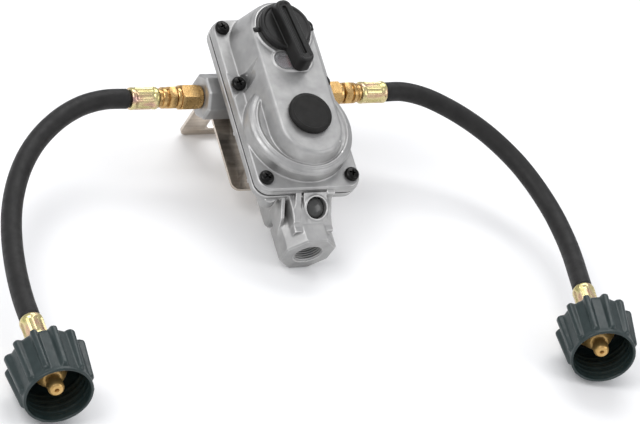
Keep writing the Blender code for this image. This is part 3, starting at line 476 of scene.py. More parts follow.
def cast_aluminium():
    """Die-cast and tumbled: a fine grain, cloudy patches, and brighter edges that are partly rubbed wear and
    partly a painted highlight.
    """
    s = Surface("cast_aluminium_looks", 0.48, 0.8)
    clouds = s.noise(90, 4)
    patches = s.ramp(clouds, (0.3, (0.32, 0.318, 0.315)), (0.7, (0.43, 0.427, 0.42)))
    # Convex edges lighten towards a pale colour: partly rubbed wear, partly a painted highlight.
    rubbed_and_highlit_edges = s.remap(s.node("ShaderNodeNewGeometry").outputs["Pointiness"], 0.0, 1.0, 0.51, 0.58)
    s.colour(s.blend(rubbed_and_highlit_edges, patches, (0.74, 0.735, 0.72)))
    s.rough(s.remap(s.noise(240, 5), 0.40, 0.56))
    s.bump(s.noise(1900, 3), 0.00009, 0.7)
    s.bump(s.noise(420, 3), 0.00016, 0.45)
    return s.material


def moulded(name, dark, light, roughness, grain=2600, **settings):
    """Moulded plastic: a fine spark-eroded grain and faint handling marks."""
    s = Surface(name, roughness, 0.0, **settings)
    s.colour(s.ramp(s.noise(160, 4), (0.3, dark), (0.7, light)))
    s.rough(s.remap(s.noise(300, 5), roughness - 0.06, roughness + 0.08))
    s.bump(s.noise(grain, 2), 0.00003, 0.5)
    s.bump(s.noise(220, 2), 0.00008, 0.25)
    return s.material


def turned_metal(name, dark, light, roughness, rings=9000, metallic=1.0):
    """Turned or pressed metal: tool rings about its own axis, a few stains."""
    s = Surface(name, roughness, metallic)
    s.colour(s.ramp(s.noise(220, 4), (0.3, dark), (0.72, light)))
    s.rough(s.remap(s.noise(500, 4), roughness - 0.05, roughness + 0.1))
    s.bump(s.noise(rings, 2, (0.02, 0.02, 1.0)), 0.00002, 0.5)
    return s.material


def plated_ferrule():
    """Yellow chromate over zinc, shading to pink and green."""
    s = Surface("yellow_zinc_looks", 0.27, 0.92)
    tint = s.noise(150, 3, (1.0, 1.0, 0.45))
    film = s.ramp(
        tint, (0.28, (0.36, 0.42, 0.19)), (0.42, (0.58, 0.50, 0.22)), (0.52, (0.66, 0.57, 0.30)),
        (0.62, (0.62, 0.42, 0.27)), (0.74, (0.55, 0.34, 0.30)))
    s.colour(film)
    s.rough(s.remap(s.noise(700, 4), 0.2, 0.36))
    s.bump(s.noise(1500, 3), 0.00003, 0.5)
    return s.material


def bracket_steel():
    """Bright rolled sheet: fine lines along the roll, on a tan-to-brown colour that is a painted reflection of
    dark surroundings.
    """
    s = Surface("stainless_looks", 0.18, 1.0)
    lines = s.noise(500, 3, (0.04, 1.0, 1.0))
    # The tan-to-brown base colour is a painted reflection of dark brown surroundings, not the steel's own tint.
    s.colour(s.ramp(lines, (0.3, (0.50, 0.44, 0.38)), (0.7, (0.68, 0.61, 0.53))))
    s.rough(s.remap(s.noise(120, 4), 0.12, 0.24))
    s.bump(s.noise(2500, 2, (0.02, 1.0, 1.0)), 0.00001, 0.5)
    return s.material


def hose_cover():
    """Pin-pricked rubber that keeps the print of its cloth wrap."""
    s = Surface("hose_rubber_looks", 0.5, 0.0, Specular_IOR_Level=0.26)
    along = s.node("ShaderNodeSeparateXYZ", Vector=s.node("ShaderNodeUVMap").outputs["UV"])
    around, length = along.outputs["X"], along.outputs["Y"]
    height = None
    for turns in (34.0, -34.0):
        wave = s.math("SINE", s.math("MULTIPLY_ADD", around, turns * math.tau,
                                     s.math("MULTIPLY", length, 34.0 * math.tau)))
        height = wave if height is None else s.math("MULTIPLY", height, wave)
    s.colour(s.ramp(s.noise(120, 4), (0.3, (0.009, 0.0086, 0.0084)), (0.7, (0.016, 0.0154, 0.015))))
    s.rough(s.remap(s.noise(260, 5), 0.42, 0.6))
    s.bump(height, 0.00005, 0.5)
    s.bump(s.noise(1300, 3), 0.00005, 0.4)
    return s.material


def lens():
    s = Surface("clear_lens_looks", 0.06, 0.0, Transmission_Weight=0.85, IOR=1.49)
    s.colour(s.ramp(s.noise(200, 3), (0.3, (0.78, 0.78, 0.79)), (0.7, (0.90, 0.90, 0.91))))
    s.rough(s.remap(s.noise(500, 3), 0.03, 0.14))
    return s.material


def indicator():
    """The flag behind the window: pale on one side, dark red on the other."""
    s = Surface("indicator_looks", 0.45)
    across = s.node("ShaderNodeSeparateXYZ", Vector=s.place).outputs["X"]
    share = s.math("MULTIPLY_ADD", across, 160.0, 0.5)
    wobble = s.math("MULTIPLY_ADD", s.noise(300, 3), 0.2, share)
    s.colour(s.ramp(
        wobble, (0.25, (0.42, 0.33, 0.35)), (0.55, (0.36, 0.12, 0.14)), (0.8, (0.20, 0.012, 0.02))))
    s.bump(s.noise(900, 2), 0.00004, 0.4)
    return s.material


def make_materials():
    return {
        "cast_aluminium": cast_aluminium(),
        "black_plastic": moulded("black_plastic_looks", (0.005, 0.0048, 0.0045), (0.010, 0.0096, 0.009), 0.36,
                                 Specular_IOR_Level=0.3),
        "cap_plastic": moulded("cap_plastic_looks", (0.007, 0.0066, 0.006), (0.013, 0.0124, 0.0115), 0.5,
                               Specular_IOR_Level=0.2),
        "gloss_plastic": moulded("gloss_plastic_looks", (0.035, 0.035, 0.034), (0.05, 0.05, 0.048), 0.2),
        "black_steel": turned_metal("black_steel_looks", (0.012, 0.012, 0.012), (0.035, 0.034, 0.033), 0.3),
        "clear_lens": lens(),
        "indicator_red": indicator(),
        "brass": turned_metal("brass_looks", (0.44, 0.27, 0.10), (0.64, 0.42, 0.18), 0.27),
        "brass_nose": turned_metal("brass_nose_looks", (0.52, 0.32, 0.10), (0.74, 0.48, 0.19), 0.34,
                                   metallic=0.55),
        "yellow_zinc": plated_ferrule(),
        "stainless": bracket_steel(),
        "spring_steel": turned_metal("spring_steel_looks", (0.36, 0.36, 0.37), (0.52, 0.52, 0.52), 0.3),
        "rubber": moulded("rubber_looks", (0.014, 0.014, 0.014), (0.026, 0.025, 0.025), 0.62, 1500),
        "hose_rubber": hose_cover(),
        "green_nylon": moulded("green_nylon_looks", (0.013, 0.023, 0.023), (0.021, 0.034, 0.034), 0.38,
                               Specular_IOR_Level=0.38),
    }


# ---------------------------------------------------------------- camera, light and floor

def make_camera():
    camera = linked_object("camera", bpy.data.cameras.new("camera"))
    camera.location = CAMERA_PLACE
    camera.rotation_euler = [math.radians(angle) for angle in CAMERA_ANGLES]
    camera.data.lens = CAMERA_LENS
    camera.data.clip_start = 0.01
    camera.data.clip_end = 20.0
    bpy.context.scene.camera = camera


def add_softbox(name, place, target, size, power):
    light = bpy.data.lights.new(name, "AREA")
    light.shape = "RECTANGLE"
    light.size, light.size_y = size
    light.energy = power
    obj = linked_object(name, light)
    obj.location = place
    obj.rotation_euler = (Vector(target) - Vector(place)).to_track_quat("-Z", "Y").to_euler()


def make_studio():
    middle = (0.0, 0.0, 0.05)
    add_softbox("key", (-0.9, -0.2, 1.0), middle, (0.8, 0.8), 9.0)
    add_softbox("top", (0.3, 0.7, 1.2), middle, (1.2, 0.6), 9.0)
    add_softbox("fill", (0.9, -0.9, 0.7), middle, (0.7, 0.7), 4.0)
    world = bpy.data.worlds.new("studio")
    world.use_nodes = True
    background = world.node_tree.nodes["Background"]
    background.inputs["Color"].default_value = (0.95, 0.96, 1.0, 1.0)
    background.inputs["Strength"].default_value = 0.65
    bpy.context.scene.world = world
    bpy.context.scene.view_settings.view_transform = "Standard"

    floor = linked_object("floor", mesh_of(box((-3.0, -3.0, -0.02), (3.0, 3.0, -0.0002)), "floor"))
    paper = Surface("paper", 0.85)
    paper.colour(paper.ramp(paper.noise(3, 2), (0.3, (0.88, 0.88, 0.88)), (0.7, (0.90, 0.90, 0.90))))
    floor.data.materials.append(paper.material)


# ---------------------------------------------------------------- hoses

def route_curve(points, steps):
    """A smooth line through the route's points."""
    knots = [Vector(point) for point in points]
    padded = [2 * knots[0] - knots[1], *knots, 2 * knots[-1] - knots[-2]]
    line = []
    for a, b, c, d in zip(padded, padded[1:], padded[2:], padded[3:]):
        for step in range(steps):
            t = step / steps
            line.append(0.5 * ((2 * b) + (c - a) * t + (2 * a - 5 * b + 4 * c - d) * t * t
                               + (3 * b - a - 3 * c + d) * t ** 3))
    line.append(knots[-1])
    return line


def tube_mesh(name, line, radius, segments=40):
    """A tube with rounded ends along a line; its UV map runs round it and along it, in turns and in
    circumferences."""
    mesh = bmesh.new()
    uv_layer = mesh.loops.layers.uv.new("UVMap")
    end_round = 0.8 * MM
    stations = []
    distance = 0.0
    normal = Vector((0, 0, 1))
    for i, point in enumerate(line):
        before = line[max(i - 1, 0)]
        after = line[min(i + 1, len(line) - 1)]
        tangent = (after - before).normalized()
        normal = (normal - tangent * normal.dot(tangent)).normalized()
        if i:
            distance += (point - before).length
        stations.append((point, tangent, normal.copy(), distance))
    total = distance
    rings = []
    for point, tangent, normal, distance in stations:
        inset = end_round - min(distance, total - distance, end_round)
        ring_radius = radius - end_round + math.sqrt(max(end_round ** 2 - inset ** 2, 0.0))
        side = tangent.cross(normal)
        rings.append([
            mesh.verts.new(point + (normal * math.cos(t) + side * math.sin(t)) * ring_radius)
            for t in (math.tau * k / segments for k in range(segments))
        ])
    circumference = math.tau * radius
    for i in range(len(rings) - 1):
        for k in range(segments):
            j = (k + 1) % segments
            face = mesh.faces.new((rings[i][k], rings[i][j], rings[i + 1][j], rings[i + 1][k]))
            lengths = (stations[i][3] / circumference, stations[i + 1][3] / circumference)
            places = ((k, 0), (k + 1, 0), (k + 1, 1), (k, 1))
            for loop, (turn, row) in zip(face.loops, places):
                loop[uv_layer].uv = (turn / segments, lengths[row])
    mesh.faces.new(list(reversed(rings[0])))
    mesh.faces.new(rings[-1])
    return finished_mesh(mesh, name)


def make_hose(name, materials):
    route = ROUTES[name]
    line = route_curve(route, 10)
    hose = place_piece(f"hose_cover_{name}", tube_mesh(f"hose_cover_{name}", line, HOSE_RADIUS),
                       materials["hose_rubber"], "housing", Matrix.Identity(4), [f"hose_{name}"], sharp=60)
    return hose, [list(point) for point in line]


# ---------------------------------------------------------------- the castings

def flange_outline(inset=0.0):
    return rounded_rectangle(-FLANGE_HALF_WIDTH + inset, FLANGE_HALF_WIDTH - inset, FLANGE_BOTTOM + inset,
                             FLANGE_TOP - inset, FLANGE_CORNER - inset)


def flange_slab(*stations):
    return loft([[Vector((x, y, z)) for x, z in flange_outline(inset)] for y, inset in stations])


def cover_boss():
    steps = ((2.6, 0.0, 0.0), (-16.4, 0.82, 0.0), (-18.6, 0.93, 0.0), (-19.8, 0.98, 0.5), (-20.5, 1.0, 1.4))
    sections = []
    for y, blend, inset in steps:
        lower_radius, lower_z, upper_radius, upper_z = (
            base + (face - base) * blend for base, face in zip(BOSS_BASE, BOSS_FACE))
        outline = egg(lower_radius - inset * MM, lower_z, upper_radius - inset * MM, upper_z)
        sections.append([Vector((x, y * MM, z)) for x, z in outline])
    return loft(sections)


def relief_notch(side):
    return hull([(side * 21.6, 0.6, 64.5), (side * 19.7, -20.0, 71.5), (side * 36.0, 0.6, 52.0),
                 (side * 36.0, 0.6, 74.0), (side * 36.0, -26.0, 73.0)])


def screw_holes(radius, front, back):
    return [drum(radius, -back, -front, 24, out_of_face(x, z))
            for x in (-SCREW_X, SCREW_X) for z in SCREW_Z]


def make_cover(materials):
    slab = flange_slab((COVER_BACK, 0.0), (3.3 * MM, 0.0), (2.9 * MM, 0.45 * MM), (1.0 * MM, 0.45 * MM),
                       (0.0, 1.3 * MM))
    lower = out_of_face(0, STAGE_TWO_Z)
    upper = out_of_face(0, STAGE_ONE_Z)
    dome = turned(((0, -2), (33, -2), (33, 6.6), (32.4, 8.4), (31, 9.6), (29.4, 10), (0, 10)), 144, lower)
    bead = turned(((27.4, 8), (29.2, 8), (29.2, 10.7), (28.6, 11.1), (27.9, 10.8), (27.4, 10.2)), 144, lower,
                  ring=True)
    window_rim = block_y(stadium(WINDOW_HALF_SPAN, 7.4 * MM, WINDOW_Z), FACE_Y - 0.9 * MM, FACE_Y + 1 * MM)
    knob_rim = turned(((17.0, 19), (18.3, 19), (18.3, 21.1), (17.9, 21.4), (17.4, 21.4), (17.0, 21.1)), 96,
                      upper, ring=True)
    hollows = [
        relief_notch(-1), relief_notch(1),
        drum(23, -7, 6.5, 48, lower),
        drum(9.6, 5, 22, 64, lower),
        drum(18.5, -7, 8, 48, upper),
        drum(12.5, 7, 15.6, 32, upper),
        drum(4.4, 15, 22, 24, upper),
        box((-12 * MM, -16 * MM, 57 * MM), (12 * MM, -11 * MM, 80 * MM)),
        box((-8 * MM, -12 * MM, 66 * MM), (8 * MM, -2 * MM, 80 * MM)),
        block_y(stadium(WINDOW_HALF_SPAN, 6.1 * MM, WINDOW_Z), -23 * MM, -18.8 * MM),
        block_y(stadium(WINDOW_HALF_SPAN, 4.4 * MM, WINDOW_Z), -20 * MM, -15 * MM),
        box((-21 * MM, -23 * MM, STAGE_ONE_Z - 1.8 * MM),
            (21 * MM, FACE_Y - 0.1 * MM, STAGE_ONE_Z + 1.8 * MM)),
    ]
    for side in (-1, 1):
        hollows.append(turned(((0, 0.05), (6.2, 0.05), (6.6, 24), (0, 24)), 48,
                              out_of_face(side * (SCREW_X + 0.4 * MM), SCREW_Z[1])))
    mesh = carved(slab, [dome, bead, cover_boss(), window_rim, knob_rim], hollows + screw_holes(2.5, -1, 7))
    place_piece("cover_casting", softened(mesh, CASTING_VOXEL, 4, CASTING_KEPT),
                materials["cast_aluminium"], "housing", SEAT, ["front_cover"])


def neck_webs():
    """The slanting webs that tie the outlet to the flange, and the two small blocks on them."""
    return [
        hull([(-8.8, 3.2, -7), (-5.0, 3.2, -7), (-12.8, 9.8, -24.6), (-9.0, 9.8, -24.6),
              (-8.8, 28, -7), (-5.0, 28, -7), (-12.8, 28, -24.6), (-9.0, 28, -24.6)]),
        hull([(-16.2, 7.4, -6), (-13.8, 7.4, -6), (-18.2, 13.2, -19.5), (-16.0, 13.2, -19.5),
              (-16.2, 28, -6), (-13.8, 28, -6), (-16.2, 28, -24), (-14.0, 28, -24)]),
        hull([(13.2, 5.6, -7), (15.6, 5.6, -7), (10.6, 10.8, -22), (12.8, 10.8, -22),
              (13.2, 28, -7), (15.6, 28, -7), (12.0, 28, -26), (14.4, 28, -26)]),
        hull([(-4.6, 2.3, -9), (9.8, 2.3, -9), (-5.6, 6.3, -17.4), (10.6, 6.3, -17.4), (-3.8, 9.9, -24.2),
              (8.8, 9.9, -24.2), (-4.6, 20, -7), (9.8, 20, -7), (-3.8, 20, -26), (8.8, 20, -26)]),
        hull([(10.4, 1.4, -6.5), (15.4, 1.4, -6.5), (10.4, 2.2, -10.4), (15.4, 2.2, -10.4),
              (10.4, 11, -6.5), (15.4, 11, -6.5), (10.4, 11, -10.4), (15.4, 11, -10.4)]),
    ]


def octagon_bar(flats, start, end, chamfer, place):
    """An octagonal bar with chamfered ends; sizes in millimetres along the place's Z axis."""
    radius = flats / 2 / math.cos(math.pi / 8)
    return turned(((0, start), (radius - chamfer, start), (radius, start + chamfer), (radius, end - chamfer),
                   (radius - chamfer, end), (0, end)), 8, place, phase=math.pi / 8)


def make_body(materials):
    slab = flange_slab((BODY_FRONT, 0.0), (8.6 * MM, 0.0), (9.0 * MM, 0.4 * MM), (11.2 * MM, 0.4 * MM),
                       (BODY_FLANGE_BACK, 1.2 * MM))
    lower = out_of_face(0, STAGE_TWO_Z)
    along_x = frame_along((1, 0, 0), (0, INLET_Y, INLET_Z))
    outlet_frame = frame_along((0, 0, 1), (0, OUTLET_Y, 0))
    bore_frame = frame_along((0, 0, 1), (0, 20 * MM, 0))
    port = frame_along(PORT_NORMAL, PORT_CENTRE)
    dish = turned(((0, -19), (25, -19), (27.6, -18), (29, -15.6), (29, -8), (0, -8)), 96, lower)
    upper_dish = turned(((0, -19), (18.4, -19), (20.6, -18), (21.5, -16), (21.5, -8), (0, -8)), 96,
                        out_of_face(0, STAGE_ONE_Z - 3 * MM))
    spine = block_y(rounded_rectangle(-14 * MM, 14 * MM, -10 * MM, 97 * MM, 3 * MM), 9 * MM, SPINE_BACK)
    inlets = octagon_bar(INLET_FLATS, -INLET_REACH, INLET_REACH, 1.2, along_x)
    outlet = octagon_bar(OUTLET_FLATS, *OUTLET_SPAN, 1.0, outlet_frame)
    neck = block_x(((7.2 * MM, -5 * MM), (7.2 * MM, -17 * MM), (11.4 * MM, -27 * MM), (11.4 * MM, -30 * MM),
                    (NECK_BACK, -30 * MM), (NECK_BACK, 0.0)), -12.5 * MM, 12.5 * MM)
    port_boss = turned(((0, -9), (7.7, -9), (7.7, 0.2), (7.5, 0.5), (7.1, 0.7), (0, 0.7)), 64, port)
    vent_boss = turned(((0, -19), (4.6, -19), (5.2, -18), (5.2, -11), (0, -11)), 48,
                       out_of_face(*VENT_PLACE))
    ribs = [box((-27 * MM, 11 * MM, z - 1.1 * MM), (27 * MM, 24 * MM, z + 1.1 * MM))
            for z in (12 * MM, 44 * MM)]
    joined = [dish, upper_dish, spine, inlets, outlet, neck, port_boss, vent_boss, *ribs, *neck_webs()]
    hollows = [
        drum(22.5, -14.5, -5, 48, lower),
        drum(18, -14.5, -5, 48, out_of_face(0, STAGE_ONE_Z)),
        drum(5.5, -45, 45, 40, along_x),
        turned(((0, -38), (8.9, -38), (8.9, -20), (5.0, -16), (0, -16)), 64, outlet_frame),
        drum(5.2, -22, 67, 32, bore_frame),
        box((-7.5 * MM, 12 * MM, 66 * MM), (7.5 * MM, 34 * MM, 92 * MM)),
        box((-5 * MM, 12 * MM, 8 * MM), (5 * MM, 24 * MM, 31 * MM)),
        drum(6.5, -6, 2, 48, port),
        drum(2.3, -13, -5, 16, port),
        drum(3.2, -20, -14, 32, out_of_face(*VENT_PLACE)),
    ]
    for z in BRACKET_SCREW_Z:
        hollows.append(drum(2.4, -43, -33, 24, out_of_face(0, z)))
    mesh = carved(slab, joined, hollows + screw_holes(2.4, 5, 11.4))
    place_piece("body_casting", softened(mesh, CASTING_VOXEL, 3, CASTING_KEPT),
                materials["cast_aluminium"], "housing", SEAT, ["rear_body"])
    place_piece("outlet_thread", thread_sleeve(**OUTLET_THREAD), materials["cast_aluminium"], "housing",
                SEAT @ outlet_frame)
    plug = turned(((0, -5.6), (6.1, -5.6), (6.1, -2.6), (5.9, -2.2), (5.0, -1.5), (3.6, -0.9), (1.8, -0.55),
                   (0, -0.45)), 64)
    place_piece("port_plug_dome", mesh_of(plug), materials["gloss_plastic"], "housing", SEAT @ port,
                ["port_plug"], sharp=40)


def thread_sleeve(root, crest, pitch, start, end, segments=72, rows_per_turn=10):
    """A sleeve with its thread inside and a plain outside; sizes in millimetres along its Z axis."""
    rows = int((end - start) / pitch * rows_per_turn)
    shape = bmesh.new()
    rings = []
    for row in range(rows + 1):
        height = start + (end - start) * row / rows
        fade = min(1.0, row / rows_per_turn + 0.15, (rows - row) / rows_per_turn + 0.15)

        def threaded(t, h=height, f=fade):
            phase = ((h - start) / pitch - t / math.tau) % 1.0
            tooth = 1.0 - abs(2.0 * phase - 1.0)
            return root - (root - crest) * min(1.0, tooth * 1.25) * f

        rings.append(ring_at(shape, height, threaded, segments))
    for height in (end, start):
        rings.append(ring_at(shape, height, lambda t: root + 0.5, segments))
    join_rings(shape, rings, segments, closed=True)
    return finished_mesh(shape, "thread")


# ---------------------------------------------------------------- bracket and screws

def make_bracket(materials):
    back = BRACKET_FRONT + BRACKET_SHEET
    bend = 4.0 * MM
    inner = bend - BRACKET_SHEET
    side_view = (
        [(BRACKET_FRONT, BRACKET_BOTTOM)]
        + arc(bend, (BRACKET_FRONT + bend, BRACKET_TOP - bend), 180, 90, 12)
        + [(BRACKET_REACH, BRACKET_TOP), (BRACKET_REACH, BRACKET_TOP - BRACKET_SHEET)]
        + arc(inner, (back + inner, BRACKET_TOP - bend), 90, 180, 12)
        + [(back, BRACKET_BOTTOM)]
    )
    sheet = block_x(side_view, -BRACKET_HALF_WIDTH, BRACKET_HALF_WIDTH)
    plate_outline = rounded_rectangle(
        -BRACKET_HALF_WIDTH, BRACKET_HALF_WIDTH, BRACKET_BOTTOM, 130 * MM, BRACKET_CORNER)
    flange_outline_above = rounded_rectangle(
        -BRACKET_HALF_WIDTH, BRACKET_HALF_WIDTH, 20 * MM, BRACKET_REACH, BRACKET_CORNER)
    plate_frame = block_y(plate_outline, 30 * MM, 100 * MM)
    flange_frame = loft([[Vector((x, y, z)) for x, y in flange_outline_above] for z in (0.0, 100 * MM)])
    slot = loft([
        [Vector((x, y, z)) for x, y in rounded_rectangle(-12 * MM, 12 * MM, 52 * MM, 82.5 * MM, 3 * MM)]
        for z in (78 * MM, 90 * MM)
    ])
    holes = [drum(2.6, -46, -41, 32, out_of_face(0, z))
             for z in BRACKET_SCREW_Z]
    mesh = bevelled(carved(sheet, (), [slot, *holes], [plate_frame, flange_frame]), 0.35 * MM, 2, 50.0)
    place_piece("bracket_sheet", mesh, materials["stainless"], "housing", SEAT, ["mounting_bracket"],
                sharp=50)


def screw_mesh():
    """A pan-head screw with a cross recess, its head resting on its own XY plane."""
    body = turned(((0, -10.5), (1.5, -10.5), (2.0, -9.9), (2.0, 0.3), (4.4, 0.3), (4.4, 1.6), (4.2, 2.2),
                   (3.6, 2.8), (2.6, 3.1), (0, 3.2)), 48)
    recess = []
    for along, across in ((2.5, 0.55), (0.55, 2.5)):
        recess.append(loft([
            [Vector((x * size, y * size, height)) * MM
             for x, y in ((-along, -across), (along, -across), (along, across), (-along, across))]
            for height, size in ((1.3, 0.5), (3.6, 1.05))
        ]))
    return bevelled(carved(body, (), recess), 0.08 * MM, 1, 40.0)


def make_screws(materials):
    mesh = screw_mesh()
    number = 0
    turns = (20, 65, 10, 50, 35, 75)
    for z in reversed(SCREW_Z):
        for x in (-SCREW_X, SCREW_X):
            turn = Matrix.Rotation(math.radians(turns[number]), 4, "Z")
            number += 1
            place_piece(f"screw_{number}", mesh.copy(), materials["black_steel"], "housing",
                        SEAT @ out_of_face(x, z) @ turn, [f"cover_screw_{number}"], sharp=35)
    for number, z in enumerate(BRACKET_SCREW_Z, 1):
        place = frame_along((0, 1, 0), (0, BRACKET_FRONT + BRACKET_SHEET, z))
        place_piece(f"rear_screw_{number}", mesh.copy(), materials["stainless"], "housing", SEAT @ place,
                    [f"bracket_screw_{number}"], sharp=35)


# ---------------------------------------------------------------- front fittings

def make_knob(materials):
    """A disc with a tall bar across it; the bar's top is dished between two thin ridges."""
    upper = out_of_face(0, STAGE_ONE_Z)
    disc = turned(((0, 21.9), (16.05, 21.9), (16.05, 24.9), (15.7, 25.5), (15.1, 25.8), (13.9, 25.8),
                   (13.6, 25.5), (0, 25.5)), 128, upper)
    turn = Matrix.Rotation(-POINTER_ANGLE, 4, "Y")
    axis = Vector((0, 0, STAGE_ONE_Z))

    def bar(tip, tail, half_width, corner, stations):
        sections = []
        for y, inset in stations:
            outline = rounded_rectangle(-(half_width - inset) * MM, (half_width - inset) * MM,
                                        -(tip - inset) * MM, (tail - inset) * MM, (corner - inset * 0.5) * MM)
            sections.append([turn @ Vector((x, y * MM, z)) + axis for x, z in outline])
        return loft(sections)

    grip = bar(30.0, 14.6, 5.8, 4.6, ((-21.9, 0.0), (-31.0, 0.9), (-32.2, 1.3)))
    dish = bar(27.4, 11.8, 3.2, 2.6, ((-31.6, 0.4), (-33.0, 0.0)))
    flank = bar(24.0, 10.0, 1.6, 1.4, ((-29.8, 0.4), (-33.0, 0.0)))
    socket = drum(3.3, 21, 27, 24, upper)
    mesh = softened(carved(disc, [grip], [dish, flank, socket]), KNOB_VOXEL, 2, KNOB_KEPT)
    place_piece("knob_moulding", mesh, materials["black_plastic"], "knob", SEAT, ["changeover_knob"])

    plate = turned(((4.2, 20.8), (13.6, 20.8), (13.6, 21.6), (4.2, 21.6)), 48, upper, ring=True)
    ears = [block_y(rounded_rectangle(side * 16.2 * MM - 3.6 * MM, side * 16.2 * MM + 3.6 * MM,
                                      STAGE_ONE_Z - 1.3 * MM, STAGE_ONE_Z + 1.3 * MM, 0.6 * MM, 4),
                    -21.5 * MM, -20.9 * MM) for side in (-1, 1)]
    place_piece("retainer_clip", bevelled(carved(plate, ears), 0.12 * MM), materials["black_plastic"],
                "housing", SEAT, ["knob_retainer"], sharp=40)


def make_cap(materials):
    profile = ((0, 21.5), (7.2, 21.5), (7.2, 15), (9.1, 15), (9.1, 20.8), (12.8, 20.8), (13.2, 21.2),
               (13.2, 23.0), (13.05, 23.5), (12.7, 23.9), (12.1, 24.1), (10.9, 24.1), (10.7, 23.95),
               (0, 23.85))
    place_piece("cap_moulding", mesh_of(turned(profile, 128)), materials["cap_plastic"], "cap",
                SEAT @ out_of_face(0, STAGE_TWO_Z), ["adjuster_cap"], sharp=35)


def make_window(materials):
    stations = ((-17.0, 4.1), (-19.1, 4.1), (-19.1, 5.8), (-20.5, 5.8), (-20.9, 5.5), (-21.1, 5.0),
                (-21.1, 4.4), (-20.6, 3.9))
    sections = [[Vector((x, y * MM, z)) for x, z in stadium(WINDOW_HALF_SPAN, radius * MM, WINDOW_Z)]
                for y, radius in stations]
    place_piece("window_lens", mesh_of(loft(sections)), materials["clear_lens"], "housing", SEAT,
                ["indicator_lens"], sharp=30)


# ---------------------------------------------------------------- fittings on the hoses

def hexagon(flats, start, end, chamfer):
    """A hexagonal bar whose corners are turned off at both ends, as on a nut."""
    corner = flats / math.sqrt(3)
    bar = turned(((0, start), (corner, start), (corner, end), (0, end)), 6, phase=math.pi / 6)
    turned_off = turned(
        ((0, start), (flats / 2 - 0.1, start), (corner + 0.2, start + chamfer), (corner + 0.2, end - chamfer),
         (flats / 2 - 0.1, end), (0, end)), 96)
    shape = bmesh.new()
    shape.from_mesh(carved(bar, kept=[turned_off]))
    return shape


def thread_profile(radius, depth, pitch, start, end):
    """The turned outline of an outside thread, as plain rings."""
    points = []
    count = int((end - start) / pitch)
    for i in range(count):
        base = start + i * pitch
        points += [(radius - depth, base), (radius, base + 0.3 * pitch), (radius, base + 0.5 * pitch),
                   (radius - depth, base + 0.9 * pitch)]
    return points


def make_inlet_fittings(name, materials):
    side = SIDES[name]
    place = SEAT @ inlet_frame(side)
    shoulder = turned(
        ((3.4, 30), (4.6, 30), *thread_profile(5.2, 0.5, 1.0, 30.5, 39.2), (5.0, 39.4), (6.6, 39.4),
         (7.1, 40.1), (7.1, 42.6), (6.6, 43.2), (6.2, 43.4), (6.2, 52.4), (6.3, 53), (6.6, 53.4), (6.6, 54.6),
         (6.3, 55.3), (5.7, 55.7), (3.4, 55.7)), 96, ring=True)
    nut = carved(shoulder, [hexagon(FLARE_NUT_FLATS, 42.4, 53.0, 1.0)],
                 [drum(3.4, 29, 56, 48)])
    place_piece(f"flare_nut_turned_{name}", bevelled(nut, 0.16 * MM, 2, 40.0), materials["brass"],
                f"{name}_flare_nut", place, [f"flare_nut_{name}"], sharp=35)

    stem = turned(
        ((0, 41), (2.9, 41), (2.9, 56.0), (5.4, 56.0), (5.9, 56.4), (5.9, 61.2), (5.2, 61.4), (5.2, 62.0),
         (6.0, 62.3), (6.4, 62.8), (6.4, 64.3), (6.0, 64.9), (5.3, 65.1), (5.3, 65.7), (5.7, 66.0),
         (5.7, 67.2), (0, 67.2)), 96)
    stem_mesh = carved(stem, [hexagon(STEM_FLATS, 56.2, 61.0, 0.8)])
    place_piece(f"stem_turned_{name}", bevelled(stem_mesh, 0.14 * MM, 2, 40.0), materials["brass"], "housing",
                place, [f"hose_stem_{name}"], sharp=35)
    place_piece(f"near_ferrule_crimped_{name}", ferrule_mesh(FERRULE_START / MM, FERRULE_END / MM),
                materials["yellow_zinc"], "housing", place, [f"near_ferrule_{name}"], sharp=50)


def ferrule_mesh(start, end, segments=96, panels=8):
    """A crimped ferrule: round lips, and flat panels pressed in between them by eight dies."""
    full = FERRULE_RADIUS / MM
    stations = [(0.0, start), (full - 1.6, start), (full - 0.5, start + 0.3), (full - 0.1, start + 0.9),
                (full, start + 1.5)]
    steps = 22
    for i in range(steps + 1):
        stations.append((full, start + 2.4 + (end - start - 4.6) * i / steps))
    stations += [(full, end - 1.2), (full - 0.15, end - 0.5), (full - 0.5, end - 0.1), (full - 0.9, end),
                 (0.0, end)]
    shape = bmesh.new()
    rings = []
    for radius, height in stations:
        if radius == 0.0:
            rings.append([shape.verts.new(Vector((0, 0, height)) * MM)])
            continue
        pressed = smooth_step(height, start + 2.6, start + 4.0) * smooth_step(-height, -end + 2.4, -end + 3.8)

        def crimped(angle, r=radius, share=pressed):
            offset = abs((angle * panels / math.tau) % 1.0 - 0.5) * 2.0
            inside = 1.0 - smooth_step(offset, 0.62, 0.86)
            depth = share * (0.2 + 0.62 * inside)
            ridge = share * 0.25 * smooth_step(offset, 0.9, 1.0)
            return r - depth + ridge

        rings.append(ring_at(shape, height, crimped, segments))
    join_rings(shape, rings, segments)
    return finished_mesh(shape, "ferrule")


# ---------------------------------------------------------------- handwheel nuts

def rib_share(angle):
    """How far a grip rib stands out at an angle round the nut, from 0 to 1."""
    pitch = math.tau / NUT_RIBS
    offset = abs((angle / pitch + 0.5) % 1.0 - 0.5) * pitch
    return 1.0 - smooth_step(math.degrees(offset), 3.4, 7.2)


def panel_dip(angle):
    """The valley between two ribs is flat: its middle lies nearer the axis than a circle would."""
    pitch = math.tau / NUT_RIBS
    offset = (angle / pitch) % 1.0 - 0.5
    return math.cos(pitch / 2) / math.cos(offset * pitch)


